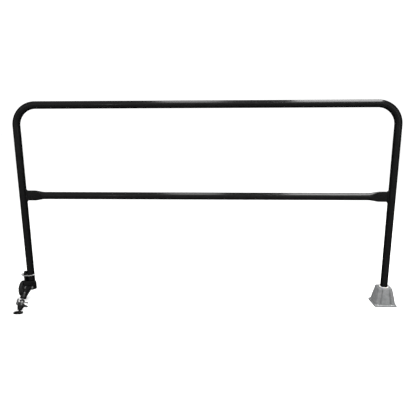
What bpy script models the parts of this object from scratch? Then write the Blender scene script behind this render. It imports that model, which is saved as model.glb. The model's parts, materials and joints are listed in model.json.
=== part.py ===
"""Swing-away pool handrail.

A bent steel hoop with a flattened-end mid rail. The right leg turns in a cast
aluminium deck base. The left leg stands on a pinned bracket that carries a
wheel and a fold-down stabiliser arm with a screw jack and a swivel foot.

Units are metres and +Z is up. The origin is the centre of the deck base's
underside, on the axis of the right leg. The rail runs along -X from there.
The stabiliser is on the -Y side, which is the front.
"""

import math

import bmesh
import bpy
from mathutils import Matrix, Vector

# ---------------------------------------------------------------- dimensions

GAP = 0.0003                       # clearance between touching pieces
RUNNING = 0.00035                  # radial play of a part that turns or slides
CHAMFER = 0.001                    # usual edge break

# Hoop and mid rail: 1.5 in tube, and a guard height of about 42 in
TUBE_R = 0.01905
TUBE_WALL = 0.0026
RAIL_HEIGHT = 1.0715
LEG_SPACING = 1.930
BEND_RADIUS = 0.106                # to the tube's centre line
MID_RAIL_Z = 0.5860
FLAT_THICKNESS = 0.0095            # of the mid rail's pressed ends
FLAT_LENGTH = 0.060
FLAT_BLEND = 0.060                 # from the pressed end to the round tube
WELD_R = 0.0026
WELD_SIDES = 8
PLUG_LENGTH = 0.012

# Deck base
BASE_HALF = 0.059                  # flange half width, along the rail
BASE_DEPTH_RATIO = 0.93            # depth across the rail over width
BASE_FLANGE = 0.008
BASE_HEIGHT = 0.0945
BASE_CORNER = 0.008                # plan radius of the flange's corners
BASE_FOOT_HALF = 0.0572            # pyramid, where it meets the flange
BASE_FOOT_CORNER = 0.020
BASE_TOP_HALF = 0.0357
BASE_FLOOR = 0.012                 # metal left under the socket
BASE_BOSS_DEPTH = 0.0045           # boss down the middle of each face
BASE_BOSS_SHARE = 0.42             # its half width, over the face's half width
BASE_HOLE_AT = 0.0518              # deck screw holes, from the centre
BASE_HOLE_R = 0.0028
BUSH_WALL = 0.0032
BUSH_RIM_R = 0.0236
BUSH_RIM = 0.0022
THRUST_DISC = 0.0035
SET_SCREW_R = 0.0040
SET_SCREW_LENGTH = 0.0175
SET_SCREW_Z = 0.0645

# Bracket on the left leg
LEG_X = -LEG_SPACING
COLLAR_BOTTOM = 0.0580
COLLAR_TOP = 0.0990
COLLAR_WALL = 0.0029
COLLAR_FLOOR = 0.0035
LUG_INNER = 0.0226                 # from the leg's axis, towards -X
LUG_OUTER = 0.0346
LUG_HALF_WIDTH = 0.015
LUG_RISE = 0.0065                  # centre of the lug's round top, over the pin
PLATE_LEFT = -0.030                # front plate, from the leg's axis
PLATE_RIGHT = 0.038
PLATE_BACK = -0.0226
PLATE_THICKNESS = 0.005
PLATE_BOTTOM = 0.0680
PLATE_TOP = 0.1105
PLATE_CORNER = 0.003

# Wheel: 3.5 in, turning about X, lifted clear of the deck by the jack
WHEEL_R = 0.04445
WHEEL_Z = 0.0580
WHEEL_INNER = 0.0400               # near face, from the leg's axis
WHEEL_WIDTH = 0.0185
TREAD = 0.0090
TREAD_CROWN = 0.0035
HUB_R = 0.0140                     # central boss
HUB_WEB = 0.0060
HUB_RIM = 0.0045
WHEEL_BUSH_WALL = 0.0035
WHEEL_BUSH_PROUD = 0.0004
AXLE_R = 0.0050
AXLE_END = 0.0785
AXLE_SPACER = 0.0006
AXLE_SPACER_R = 0.0095
AXLE_WASHER_R = 0.0100
AXLE_NUT_R = 0.0096                # across the corners
AXLE_NUT = 0.0095
WASHER = 0.0016

# Lock pin and its wire bail
PIN_Z = 0.1400
PIN_R = 0.0040
PIN_TIP = 0.0225
PIN_HEAD_R = 0.0056
PIN_HEAD_END = 0.0540
BAIL_PIVOT = 0.0465                # hinge of the bail, from the leg's axis
BAIL_WIRE_R = 0.0020
BAIL_STUB = 0.0083                 # wire above and below the pin's axis
BAIL_FRONT = 0.0236                # wire in front of the leg

# Stabiliser arm
ARM_X = LEG_X + 0.0125             # centre plane of the arm and the jack
ARM_HALF_WIDTH = 0.0112
ARM_HALF_HEIGHT = 0.0080
ARM_BORE_UP = 0.040                # the spindle's bore, up through the arm
ARM_PIVOT = Vector((ARM_X, -0.058, 0.0870))
YOKE_HALF_WIDTH = 0.0157
YOKE_WALL = 0.0040
YOKE_TIP_R = 0.010
YOKE_BOTTOM = 0.069
YOKE_BEND = 0.008                  # outer radius of its folds
PIVOT_BOLT_R = 0.0040
PIVOT_HEAD_R = 0.0070
PIVOT_HEAD = 0.0024
PIVOT_NUT_R = 0.0075               # across the corners
PIVOT_NUT = 0.0065
PIVOT_WASHER_R = 0.0080

# Screw jack: a stack along a tilted axis, measured down from the arm's boss
JACK_TOP = Vector((ARM_X, -0.128, 0.0665))
JACK_TILT = math.radians(47.0)
JACK_DOWN = Vector((0.0, -math.sin(JACK_TILT), -math.cos(JACK_TILT)))
BOSS_R = 0.0155
BOSS_UP = 0.010
BOSS_DOWN = 0.0095
SPINDLE_R = 0.0060
SPINDLE_UP = 0.022
SPINDLE_END = 0.066
JACK_COLLAR = (0.0215, 0.0255)
SCREW_HEAD = (0.0258, 0.0397)
KNOB = (0.0400, 0.0545)
CONE = (0.0548, 0.0730)
CONE_R = 0.0160
CONE_END_R = 0.0105
COLLAR_R = 0.0130
HEAD_R = 0.0095
BAR_R = 0.0026                     # tommy bar
BAR_HALF = 0.026
BAR_SHIFT = 0.006                  # how far the bar is slid to the right
BAR_BEAD_R = 0.0040
BAR_AT = 0.0328
BAR_TURN = math.radians(-6.0)
KNOB_R = 0.0165
LUG_REACH = 0.0350                 # of the knob's short lug, from the jack's axis
WING_REACH = 0.0265                # and of its upright wing
WING_TIP_R = 0.0045
WING_RISE = 0.0190                 # of the wing, up over the knob
WING_HALF = 0.0030
WING_TURN = math.radians(-38.0)
BALL_R = 0.0055
BALL_NECK_R = 0.0034
BALL_Z = 0.0115
FOOT_HALF_LENGTH = 0.0250          # along the rail
FOOT_OFFSET = -0.0060              # of its middle, from the ball
FOOT_HALF_WIDTH = 0.0130
FOOT_PLATE = 0.0032
FOOT_CUP_R = 0.0085
PAD = 0.0027

ROUND = 24                         # sides of the large round parts
SMALL = 16                         # sides of pins, bolts and washers
WHEEL_SIDES = 40
HEX = 6
BAIL_SIDES = 12
BEND_STEPS = 10
SIDE_STEPS = 12                    # points along a side of the deck base
CORNER_STEPS = 3                   # and round its corner


# ------------------------------------------------------------------- helpers

def clear_scene():
    for item in list(bpy.data.objects):
        bpy.data.objects.remove(item, do_unlink=True)


def material(name, colour, metallic, roughness):
    """One Principled material."""
    made = bpy.data.materials.new(name)
    made.use_nodes = True
    shader = made.node_tree.nodes["Principled BSDF"]
    shader.inputs["Base Color"].default_value = (*colour, 1.0)
    shader.inputs["Metallic"].default_value = metallic
    shader.inputs["Roughness"].default_value = roughness
    return made


def black_coat(name):
    return material(name, (0.012, 0.012, 0.013), 0.0, 0.28)


def steel(name):
    return material(name, (0.62, 0.62, 0.60), 1.0, 0.30)


def finish(name, bm, look, origin=(0.0, 0.0, 0.0)):
    """Close a bmesh made in world coordinates into an object with its origin at `origin`."""
    bmesh.ops.remove_doubles(bm, verts=bm.verts, dist=1e-5)
    bmesh.ops.recalc_face_normals(bm, faces=bm.faces)
    mesh = bpy.data.meshes.new(name)
    bm.to_mesh(mesh)
    bm.free()
    mesh.transform(Matrix.Translation(-Vector(origin)))
    mesh.shade_smooth()
    mesh.set_sharp_from_angle(angle=math.radians(35.0))
    made = bpy.data.objects.new(name, mesh)
    made.location = origin
    made.data.materials.append(look)
    bpy.context.collection.objects.link(made)
    return made


def as_tool(made):
    """Mark an object as a guide or cutter, which isn't a part."""
    made.hide_render = True
    made.display_type = "WIRE"
    return made


def combine(target, tool, operation):
    step = target.modifiers.new(tool.name, "BOOLEAN")
    step.operation = operation
    step.solver = "EXACT"
    step.object = as_tool(tool)


def arc(centre, radius, start_deg, end_deg, steps):
    """Points on an arc, both ends included."""
    points = []
    for i in range(steps + 1):
        angle = math.radians(start_deg + (end_deg - start_deg) * i / steps)
        points.append((centre[0] + radius * math.cos(angle), centre[1] + radius * math.sin(angle)))
    return points


def extruded(bm, outline, low, high, place):
    """Extrude an outline of (u, v) from w = low to w = high; place(u, v, w) gives the point."""
    base = bm.faces.new([bm.verts.new(place(u, v, low)) for u, v in outline])
    move = Vector(place(0.0, 0.0, high)) - Vector(place(0.0, 0.0, low))
    grown = bmesh.ops.extrude_face_region(bm, geom=[base], use_keep_orig=True)
    tops = [item for item in grown["geom"] if isinstance(item, bmesh.types.BMVert)]
    bmesh.ops.translate(bm, verts=tops, vec=move)


def along_x(u, v, w):
    """Outline in the YZ plane, extruded along X."""
    return (w, u, v)


def along_y(u, v, w):
    """Outline in the XZ plane, extruded along Y."""
    return (u, w, v)


def turned(bm, profile, origin, axis, sides=ROUND):
    """Spin a profile of (radius, height) about `axis` through `origin`."""
    axis = Vector(axis).normalized()
    turn = Vector((0.0, 0.0, 1.0)).rotation_difference(axis).to_matrix().to_4x4()
    frame = Matrix.Translation(Vector(origin)) @ turn
    verts = [bm.verts.new(frame @ Vector((radius, 0.0, height))) for radius, height in profile]
    edges = []
    closed = profile[0][0] > 0.0
    for i in range(len(verts) if closed else len(verts) - 1):
        edges.append(bm.edges.new((verts[i], verts[(i + 1) % len(verts)])))
    bmesh.ops.spin(bm, geom=verts + edges, cent=origin, axis=axis, angle=math.tau,
                   steps=sides, use_merge=True)


def turned_part(name, profile, origin, axis, look, sides=ROUND):
    bm = bmesh.new()
    turned(bm, profile, origin, axis, sides)
    return finish(name, bm, look, origin)


def rod(radius, low, high, chamfer=0.0):
    """Profile of a solid rod with chamfered ends."""
    return [(0.0, low), (radius - chamfer, low), (radius, low + chamfer),
            (radius, high - chamfer), (radius - chamfer, high), (0.0, high)]


def ring(inner, outer, low, high, chamfer=0.0):
    """Profile of a washer or sleeve, chamfered outside."""
    return [(inner, low), (outer - chamfer, low), (outer, low + chamfer),
            (outer, high - chamfer), (outer - chamfer, high), (inner, high)]


def drill(target, start, end, radius, sides=SMALL):
    """Cut a round hole from start to end."""
    start = Vector(start)
    run = Vector(end) - start
    tool = turned_part(target.name + "_cutter", rod(radius, 0.0, run.length), start, run, None, sides)
    tool.data.materials.clear()
    combine(target, tool, "DIFFERENCE")


def hex_nut(name, origin, axis, corner_r, low, high, bore, look):
    """Hexagonal nut with chamfered ends and a round bore."""
    nut = turned_part(name, rod(corner_r, low, high, 0.0008), origin, axis, look, HEX)
    along = Vector(axis)
    drill(nut, Vector(origin) + along * (low - 0.002), Vector(origin) + along * (high + 0.002), bore)
    return nut


def loft(bm, rings, wrap):
    """Skin a row of equal rings; wrap joins the last ring to the first."""
    rows = [[bm.verts.new(point) for point in points] for points in rings]
    count = len(rows[0])
    pairs = list(zip(rows, rows[1:]))
    if wrap:
        pairs.append((rows[-1], rows[0]))
    for near, far in pairs:
        for i in range(count):
            j = (i + 1) % count
            bm.faces.new((near[i], near[j], far[j], far[i]))
    if not wrap:
        bm.faces.new(rows[0])
        bm.faces.new(rows[-1])


def smooth_route(points, steps):
    """Catmull-Rom curve through the points, `steps` points to each stretch."""
    ends = [points[0] * 2 - points[1], *points, points[-1] * 2 - points[-2]]
    route = []
    for a, b, c, d in zip(ends, ends[1:], ends[2:], ends[3:]):
        for i in range(steps):
            t = i / steps
            route.append(0.5 * (2 * b + (c - a) * t + (2 * a - 5 * b + 4 * c - d) * t * t
                                + (3 * b - a - 3 * c + d) * t ** 3))
    route.append(points[-1])
    return route


# ------------------------------------------------------------ hoop, mid rail

def hoop_tube():
    """Leg, bend, top rail, bend and leg, bent from one tube."""
    right_foot_z = BASE_FLOOR + THRUST_DISC + 3 * GAP
    left_foot_z = COLLAR_BOTTOM + COLLAR_FLOOR + 2 * GAP
    bend_z = RAIL_HEIGHT - TUBE_R - BEND_RADIUS
    stations = [((0.0, right_foot_z), 0.0)]
    for bend_x, start in ((-BEND_RADIUS, 0.0), (LEG_X + BEND_RADIUS, 90.0)):
        curve = arc((bend_x, bend_z), BEND_RADIUS, start, start + 90.0, BEND_STEPS)
        angles = [math.radians(start + 90.0 * i / BEND_STEPS) for i in range(BEND_STEPS + 1)]
        stations += list(zip(curve, angles))
    stations.append(((LEG_X, left_foot_z), math.pi))

    def rings(radius):
        made = []
        for (x, z), angle in stations:
            outward = Vector((math.cos(angle), 0.0, math.sin(angle)))
            centre = Vector((x, 0.0, z))
            made.append([centre + radius * (outward * math.cos(a) + Vector((0.0, math.sin(a), 0.0)))
                         for a in (math.tau * k / ROUND for k in range(ROUND))])
        return made

    bm = bmesh.new()
    loft(bm, rings(TUBE_R) + list(reversed(rings(TUBE_R - TUBE_WALL))), wrap=True)
    hoop = finish("hoop_tube", bm, black_coat("hoop_coat"))
    reach = TUBE_R + 0.01
    drill(hoop, (LEG_X - reach, 0, PIN_Z), (LEG_X + reach, 0, PIN_Z), PIN_R + RUNNING)


def flatness(distance):
    """How far the mid rail is pressed flat, 1 at its end and 0 where it is round."""
    t = (distance - FLAT_LENGTH) / FLAT_BLEND
    t = min(max(t, 0.0), 1.0)
    return 1.0 - t * t * (3.0 - 2.0 * t)


def pressed_section(flat, inset, sides):
    """Section (y, z) of a tube pressed between jaws; its outer length round stays the same."""
    half_y = TUBE_R + (FLAT_THICKNESS / 2 - TUBE_R) * flat
    straight = math.pi * (TUBE_R - half_y) / 2
    points = []
    for i in range(sides):
        angle = math.tau * (i + 0.5) / sides
        side = straight if math.sin(angle) > 0 else -straight
        points.append(((half_y - inset) * math.cos(angle), side + (half_y - inset) * math.sin(angle)))
    return points


def mid_rail():
    """Round tube between the legs, its ends pressed flat and coped to the legs."""
    blend_steps = 8
    reach = TUBE_R + GAP
    stations = [0.0, FLAT_LENGTH]
    stations += [FLAT_LENGTH + FLAT_BLEND * i / blend_steps for i in range(1, blend_steps + 1)]
    offsets = stations + [LEG_SPACING - distance for distance in reversed(stations)]

    def rings(inset):
        made = []
        for offset in offsets:
            from_end = min(offset, LEG_SPACING - offset)
            section = pressed_section(flatness(from_end), inset, ROUND)
            points = []
            for y, z in section:
                x = offset
                if from_end == 0.0:
                    cope = math.sqrt(reach ** 2 - y ** 2)
                    x = cope if offset == 0.0 else LEG_SPACING - cope
                points.append((LEG_X + x, y, MID_RAIL_Z + z))
            made.append(points)
        return made

    bm = bmesh.new()
    loft(bm, rings(0.0) + list(reversed(rings(TUBE_WALL))), wrap=True)
    finish("mid_rail", bm, black_coat("mid_rail_coat"))


def weld_bead(name, leg_x, towards):
    """Fillet round the mid rail's end, where it meets a leg."""
    stand_off = GAP + WELD_R
    rings = []
    half_y = FLAT_THICKNESS / 2
    straight = math.pi * (TUBE_R - half_y) / 2
    for i in range(ROUND):
        angle = math.tau * (i + 0.5) / ROUND
        out = Vector((0.0, math.cos(angle), math.sin(angle)))
        side = straight if math.sin(angle) > 0 else -straight
        y = (half_y + stand_off) * math.cos(angle)
        z = MID_RAIL_Z + side + (half_y + stand_off) * math.sin(angle)
        x = math.sqrt((TUBE_R + stand_off) ** 2 - y ** 2)
        centre = Vector((leg_x + towards * x, y, z))
        rings.append([centre + WELD_R * (out * math.cos(a) + Vector((math.sin(a), 0, 0)))
                      for a in (math.tau * k / WELD_SIDES for k in range(WELD_SIDES))])
    bm = bmesh.new()
    loft(bm, rings, wrap=True)
    finish(name, bm, black_coat("weld_coat"))


def leg_plug():
    """Moulded plug in the left leg's open end."""
    bottom = COLLAR_BOTTOM + COLLAR_FLOOR + 2 * GAP
    profile = rod(TUBE_R - TUBE_WALL - GAP, bottom, bottom + PLUG_LENGTH, CHAMFER)
    look = material("plug_plastic", (0.02, 0.02, 0.02), 0.0, 0.5)
    turned_part("leg_plug", profile, (LEG_X, 0, 0), (0, 0, 1), look)


# ----------------------------------------------------------------- deck base

def square_outline(half, corner, boss, z):
    """Rounded square, flatter across the rail, with a shallow boss down the middle of each side."""
    points = []
    for face in range(4):
        turn = math.radians(90.0 * face)
        local = []
        for i in range(SIDE_STEPS):
            across = (half - corner) * (2 * (i + 0.5) / SIDE_STEPS - 1)
            share = min(abs(across) / (BASE_BOSS_SHARE * half), 1.0)
            local.append((half + boss * math.cos(share * math.pi / 2), across))
        local += arc((half - corner, half - corner), corner, 10, 80, CORNER_STEPS)
        for x, y in local:
            points.append(Vector((x * math.cos(turn) - y * math.sin(turn),
                                  (x * math.sin(turn) + y * math.cos(turn)) * BASE_DEPTH_RATIO, z)))
    return points


def round_outline(square, radius, z):
    """Circle with a point in line with each point of a square outline."""
    return [Vector((p.x, p.y, 0.0)).normalized() * radius + Vector((0.0, 0.0, z)) for p in square]


def base_casting():
    """Square flange, a pyramid with a boss down each face, and a blind socket for the bush."""
    bore = TUBE_R + GAP + BUSH_WALL + GAP
    ease = 0.002
    fillet = 0.008
    top_boss = BASE_BOSS_DEPTH * 0.4
    foot = BASE_FOOT_HALF - CHAMFER
    top = square_outline(BASE_TOP_HALF - CHAMFER, BASE_CORNER, 0.0, BASE_HEIGHT)
    bm = bmesh.new()
    loft(bm, [
        square_outline(BASE_HALF - CHAMFER, BASE_CORNER, 0.0, 0.0),
        square_outline(BASE_HALF, BASE_CORNER, 0.0, CHAMFER),
        square_outline(BASE_HALF, BASE_CORNER, 0.0, BASE_FLANGE - ease),
        square_outline(BASE_HALF - ease, BASE_CORNER, 0.0, BASE_FLANGE),
        square_outline(foot, BASE_FOOT_CORNER, 0.0, BASE_FLANGE),
        square_outline(foot - ease, BASE_FOOT_CORNER, 0.0, BASE_FLANGE + ease),
        square_outline(foot - fillet / 2, BASE_FOOT_CORNER, BASE_BOSS_DEPTH, BASE_FLANGE + fillet),
        square_outline(BASE_TOP_HALF, BASE_CORNER, top_boss, BASE_HEIGHT - ease),
        top,
        round_outline(top, bore, BASE_HEIGHT),
        round_outline(top, bore, BASE_FLOOR),
    ], wrap=False)
    casting = finish("base_casting", bm, material("cast_aluminium", (0.60, 0.61, 0.62), 0.9, 0.42))
    for x in (-BASE_HOLE_AT, BASE_HOLE_AT):
        for y in (-BASE_HOLE_AT * BASE_DEPTH_RATIO, BASE_HOLE_AT * BASE_DEPTH_RATIO):
            drill(casting, (x, y, -ease), (x, y, BASE_HEIGHT), BASE_HOLE_R)
    inside = bore - BUSH_WALL
    drill(casting, (0, inside, SET_SCREW_Z), (0, BASE_HALF, SET_SCREW_Z), SET_SCREW_R + GAP)


def pivot_bush():
    """Flanged sleeve that the right leg turns in."""
    inner = TUBE_R + GAP
    outer = inner + BUSH_WALL
    top = BASE_HEIGHT + GAP
    ease = 0.0015
    profile = [
        (inner, BASE_FLOOR + GAP), (outer, BASE_FLOOR + GAP), (outer, top),
        (BUSH_RIM_R, top), (BUSH_RIM_R, top + BUSH_RIM - ease), (BUSH_RIM_R - ease, top + BUSH_RIM),
        (inner, top + BUSH_RIM),
    ]
    look = material("bush_nylon", (0.80, 0.80, 0.78), 0.0, 0.35)
    turned_part("pivot_bush", profile, (0, 0, 0), (0, 0, 1), look)


def thrust_disc():
    """Disc in the socket's floor that the right leg turns on."""
    low = BASE_FLOOR + GAP
    profile = rod(TUBE_R - GAP, low, low + THRUST_DISC, CHAMFER / 2)
    look = material("disc_nylon", (0.75, 0.75, 0.72), 0.0, 0.4)
    turned_part("thrust_disc", profile, (0, 0, 0), (0, 0, 1), look)


def pivot_set_screw():
    """Socket set screw in the back of the base, which locks the bush."""
    start = TUBE_R + 2 * GAP + BUSH_WALL + 2 * GAP
    end = start + SET_SCREW_LENGTH
    socket_depth = 0.005
    socket_r = 0.0022
    screw = turned_part("pivot_set_screw", rod(SET_SCREW_R, 0.0, SET_SCREW_LENGTH, 0.0006),
                        (0, start, SET_SCREW_Z), (0, 1, 0), steel("screw_steel"))
    drill(screw, (0, end - socket_depth, SET_SCREW_Z), (0, end + 0.002, SET_SCREW_Z), socket_r, HEX)


# ---------------------------------------------------- bracket, wheel and pin

def leg_collar():
    """Cup that the left leg stands in."""
    inner = TUBE_R + GAP
    outer = inner + COLLAR_WALL
    profile = [
        (0.0, COLLAR_BOTTOM), (outer - CHAMFER, COLLAR_BOTTOM), (outer, COLLAR_BOTTOM + CHAMFER),
        (outer, COLLAR_TOP - CHAMFER), (outer - CHAMFER, COLLAR_TOP), (inner, COLLAR_TOP),
        (inner, COLLAR_BOTTOM + COLLAR_FLOOR), (0.0, COLLAR_BOTTOM + COLLAR_FLOOR),
    ]
    turned_part("leg_collar", profile, (LEG_X, 0, 0), (0, 0, 1), black_coat("collar_coat"))


def wheel_lug():
    """Upright bar beside the leg: the lock pin crosses its top and the axle its bottom."""
    outline = arc((0.0, PIN_Z + LUG_RISE), LUG_HALF_WIDTH, 0, 180, 10)
    outline += arc((0.0, WHEEL_Z), LUG_HALF_WIDTH, 180, 360, 10)
    bm = bmesh.new()
    extruded(bm, outline, LEG_X - LUG_OUTER, LEG_X - LUG_INNER, along_x)
    lug = finish("wheel_lug", bm, black_coat("lug_coat"))
    near = LEG_X - LUG_INNER + 0.01
    far = LEG_X - LUG_OUTER - 0.01
    drill(lug, (near, 0, PIN_Z), (far, 0, PIN_Z), PIN_R + RUNNING)
    drill(lug, (near, 0, WHEEL_Z), (far, 0, WHEEL_Z), AXLE_R + GAP)


def front_plate():
    """Flat plate across the collar's front, which carries the stabiliser's yoke."""
    left = LEG_X + PLATE_LEFT + PLATE_CORNER
    right = LEG_X + PLATE_RIGHT - PLATE_CORNER
    low = PLATE_BOTTOM + PLATE_CORNER
    high = PLATE_TOP - PLATE_CORNER
    outline = arc((left, low), PLATE_CORNER, 180, 270, 3) + arc((right, low), PLATE_CORNER, 270, 360, 3)
    outline += arc((right, high), PLATE_CORNER, 0, 90, 3) + arc((left, high), PLATE_CORNER, 90, 180, 3)
    bm = bmesh.new()
    extruded(bm, outline, PLATE_BACK - PLATE_THICKNESS, PLATE_BACK, along_y)
    finish("front_plate", bm, black_coat("plate_coat"))


def stabiliser_yoke():
    """Channel bent round the arm's end; its cheeks taper to round tips at the pivot."""
    back = PLATE_BACK - PLATE_THICKNESS - GAP
    spare = 0.005
    depth = back - ARM_PIVOT.y + YOKE_TIP_R + spare
    top = ARM_PIVOT.z + YOKE_TIP_R
    outer = YOKE_BEND
    inner = outer - YOKE_WALL
    half = YOKE_HALF_WIDTH
    wall = half - YOKE_WALL
    channel = [(ARM_X - half, depth)]
    channel += arc((ARM_X - half + outer, outer), outer, 180, 270, 5)
    channel += arc((ARM_X + half - outer, outer), outer, 270, 360, 5)
    channel += [(ARM_X + half, depth), (ARM_X + wall, depth)]
    channel += arc((ARM_X + wall - inner, outer), inner, 360, 270, 5)
    channel += arc((ARM_X - wall + inner, outer), inner, 270, 180, 5)
    channel += [(ARM_X - wall, depth)]

    def forwards(u, v, w):
        return (u, back - v, w)

    bm = bmesh.new()
    extruded(bm, channel, YOKE_BOTTOM - spare, top + spare, forwards)
    yoke = finish("stabiliser_yoke", bm, black_coat("yoke_coat"))
    cheek = arc((ARM_PIVOT.y, ARM_PIVOT.z), YOKE_TIP_R, 90, 256, 10)
    cheek += [(back + spare, YOKE_BOTTOM), (back + spare, top)]
    bm = bmesh.new()
    extruded(bm, cheek, ARM_X - half - spare, ARM_X + half + spare, along_x)
    combine(yoke, finish("yoke_cheek_guide", bm, black_coat("yoke_guide")), "INTERSECT")
    reach = Vector((half + spare, 0, 0))
    drill(yoke, ARM_PIVOT - reach, ARM_PIVOT + reach, PIVOT_BOLT_R + GAP)


def wheel_parts():
    """Rubber tyre on a webbed hub, with a plain bush in the hub."""
    centre = Vector((LEG_X, 0, WHEEL_Z))
    outwards = (-1, 0, 0)
    near = WHEEL_INNER
    far = WHEEL_INNER + WHEEL_WIDTH
    middle = (near + far) / 2
    rim = WHEEL_R - TREAD
    edge = WHEEL_R - TREAD_CROWN
    tyre = [(rim, near)]
    tyre += arc((edge, near + TREAD_CROWN), TREAD_CROWN, 270, 360, 4)
    tyre += arc((edge, far - TREAD_CROWN), TREAD_CROWN, 0, 90, 4)
    tyre += [(rim, far)]
    tyre_look = material("tyre_rubber", (0.02, 0.02, 0.02), 0.0, 0.7)
    turned_part("wheel_tyre", tyre, centre, outwards, tyre_look, WHEEL_SIDES)

    bush_r = AXLE_R + WHEEL_BUSH_WALL
    bore = bush_r + GAP
    out = rim - GAP
    lip = out - HUB_RIM
    inset = 0.001
    web_near = middle - HUB_WEB / 2
    web_far = middle + HUB_WEB / 2
    hub = [
        (bore, near), (HUB_R, near), (HUB_R, web_near), (lip, web_near),
        (lip, near + inset), (out, near + inset), (out, far - inset), (lip, far - inset),
        (lip, web_far), (HUB_R, web_far), (HUB_R, far), (bore, far),
    ]
    hub_look = material("hub_plastic", (0.03, 0.03, 0.03), 0.0, 0.45)
    turned_part("wheel_hub", hub, centre, outwards, hub_look, WHEEL_SIDES)

    bush = ring(AXLE_R + RUNNING, bush_r, near - WHEEL_BUSH_PROUD, far + WHEEL_BUSH_PROUD)
    bush_look = material("bush_bronze", (0.5, 0.38, 0.2), 1.0, 0.4)
    turned_part("wheel_bush", bush, centre, outwards, bush_look, SMALL)


def axle_parts():
    """Stud pressed into the lug, a thin spacer, a washer and a lock nut."""
    centre = Vector((LEG_X, 0, WHEEL_Z))
    outwards = (-1, 0, 0)
    bore = AXLE_R + GAP
    stud = rod(AXLE_R, LUG_INNER + CHAMFER, AXLE_END, CHAMFER)
    turned_part("axle_stud", stud, centre, outwards, steel("axle_steel"), SMALL)

    room = WHEEL_INNER - WHEEL_BUSH_PROUD - LUG_OUTER
    spacer_at = LUG_OUTER + (room - AXLE_SPACER) / 2
    spacer = ring(bore, AXLE_SPACER_R, spacer_at, spacer_at + AXLE_SPACER)
    turned_part("axle_spacer", spacer, centre, outwards, steel("spacer_steel"), SMALL)

    washer_at = WHEEL_INNER + WHEEL_WIDTH + 2 * WHEEL_BUSH_PROUD
    nut_at = washer_at + WASHER + GAP
    washer = ring(bore, AXLE_WASHER_R, washer_at, washer_at + WASHER)
    turned_part("axle_washer", washer, centre, outwards, steel("washer_steel"), SMALL)
    hex_nut("axle_nut", centre, outwards, AXLE_NUT_R, nut_at, nut_at + AXLE_NUT, bore, steel("nut_steel"))


def lock_pin():
    """Snap pin through the lug and the leg, with a cross hole for its bail."""
    centre = Vector((LEG_X, 0, PIN_Z))
    head_at = LUG_OUTER + 2 * GAP
    profile = [
        (0.0, -PIN_TIP), (PIN_R - CHAMFER, -PIN_TIP), (PIN_R, CHAMFER - PIN_TIP),
        (PIN_R, head_at), (PIN_HEAD_R, head_at), (PIN_HEAD_R, PIN_HEAD_END - CHAMFER),
        (PIN_HEAD_R - CHAMFER, PIN_HEAD_END), (0.0, PIN_HEAD_END),
    ]
    pin = turned_part("lock_pin", profile, centre, (-1, 0, 0), steel("pin_steel"), SMALL)
    pivot = centre - Vector((BAIL_PIVOT, 0, 0))
    reach = Vector((0, 0, 2 * PIN_HEAD_R))
    drill(pin, pivot - reach, pivot + reach, BAIL_WIRE_R + RUNNING, BAIL_SIDES)


def pin_bail():
    """Spring wire that hangs in the pin's head and snaps round the front, past the tip."""
    pivot = Vector((LEG_X - BAIL_PIVOT, 0, PIN_Z))
    route = [Vector(point) for point in (
        (0.0, 0.0, BAIL_STUB), (0.0, 0.0, 0.0), (0.0, 0.0, 0.002 - BAIL_STUB),
        (0.0005, -0.0040, -BAIL_STUB), (0.0030, -0.0110, -0.0060), (0.0090, -0.0180, -0.0025),
        (0.0190, 0.0022 - BAIL_FRONT, 0.0010), (0.0385, -BAIL_FRONT, 0.0020),
        (0.0545, -BAIL_FRONT, 0.0030), (0.0655, -0.0190, 0.0045), (0.0718, -0.0100, 0.0050),
        (0.0722, -0.0020, 0.0050),
    )]
    wire = bpy.data.curves.new("pin_bail", "CURVE")
    wire.dimensions = "3D"
    wire.bevel_depth = BAIL_WIRE_R
    wire.bevel_resolution = 2
    wire.use_fill_caps = True
    points = smooth_route(route, 4)
    spline = wire.splines.new("POLY")
    spline.points.add(len(points) - 1)
    for target, point in zip(spline.points, points):
        target.co = (*point, 1.0)
    bail = bpy.data.objects.new("pin_bail", wire)
    bail.location = pivot
    wire.materials.append(steel("bail_steel"))
    bpy.context.collection.objects.link(bail)


# -------------------------------------------------------- stabiliser and jack

def stabiliser_arm():
    """Flat bar from the pivot to a round boss that the spindle turns in."""
    run = JACK_TOP - ARM_PIVOT
    slope = math.degrees(math.atan2(run.z, run.y))
    outline = arc((ARM_PIVOT.y, ARM_PIVOT.z), ARM_HALF_HEIGHT, slope + 90, slope - 90, 10)
    outline += arc((JACK_TOP.y, JACK_TOP.z), ARM_HALF_HEIGHT, slope - 90, slope - 270, 10)
    bm = bmesh.new()
    extruded(bm, outline, ARM_X - ARM_HALF_WIDTH, ARM_X + ARM_HALF_WIDTH, along_x)
    arm = finish("stabiliser_arm", bm, black_coat("arm_coat"), ARM_PIVOT)
    boss = rod(BOSS_R, -BOSS_UP, BOSS_DOWN, CHAMFER)
    guide = turned_part("arm_boss_guide", boss, JACK_TOP, JACK_DOWN, black_coat("boss_guide"))
    combine(arm, guide, "UNION")
    reach = Vector((ARM_HALF_WIDTH + 0.005, 0, 0))
    drill(arm, ARM_PIVOT - reach, ARM_PIVOT + reach, PIVOT_BOLT_R + RUNNING)
    above = JACK_TOP - JACK_DOWN * ARM_BORE_UP
    below = JACK_TOP + JACK_DOWN * (BOSS_DOWN + 0.005)
    drill(arm, above, below, SPINDLE_R + RUNNING)


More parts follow.
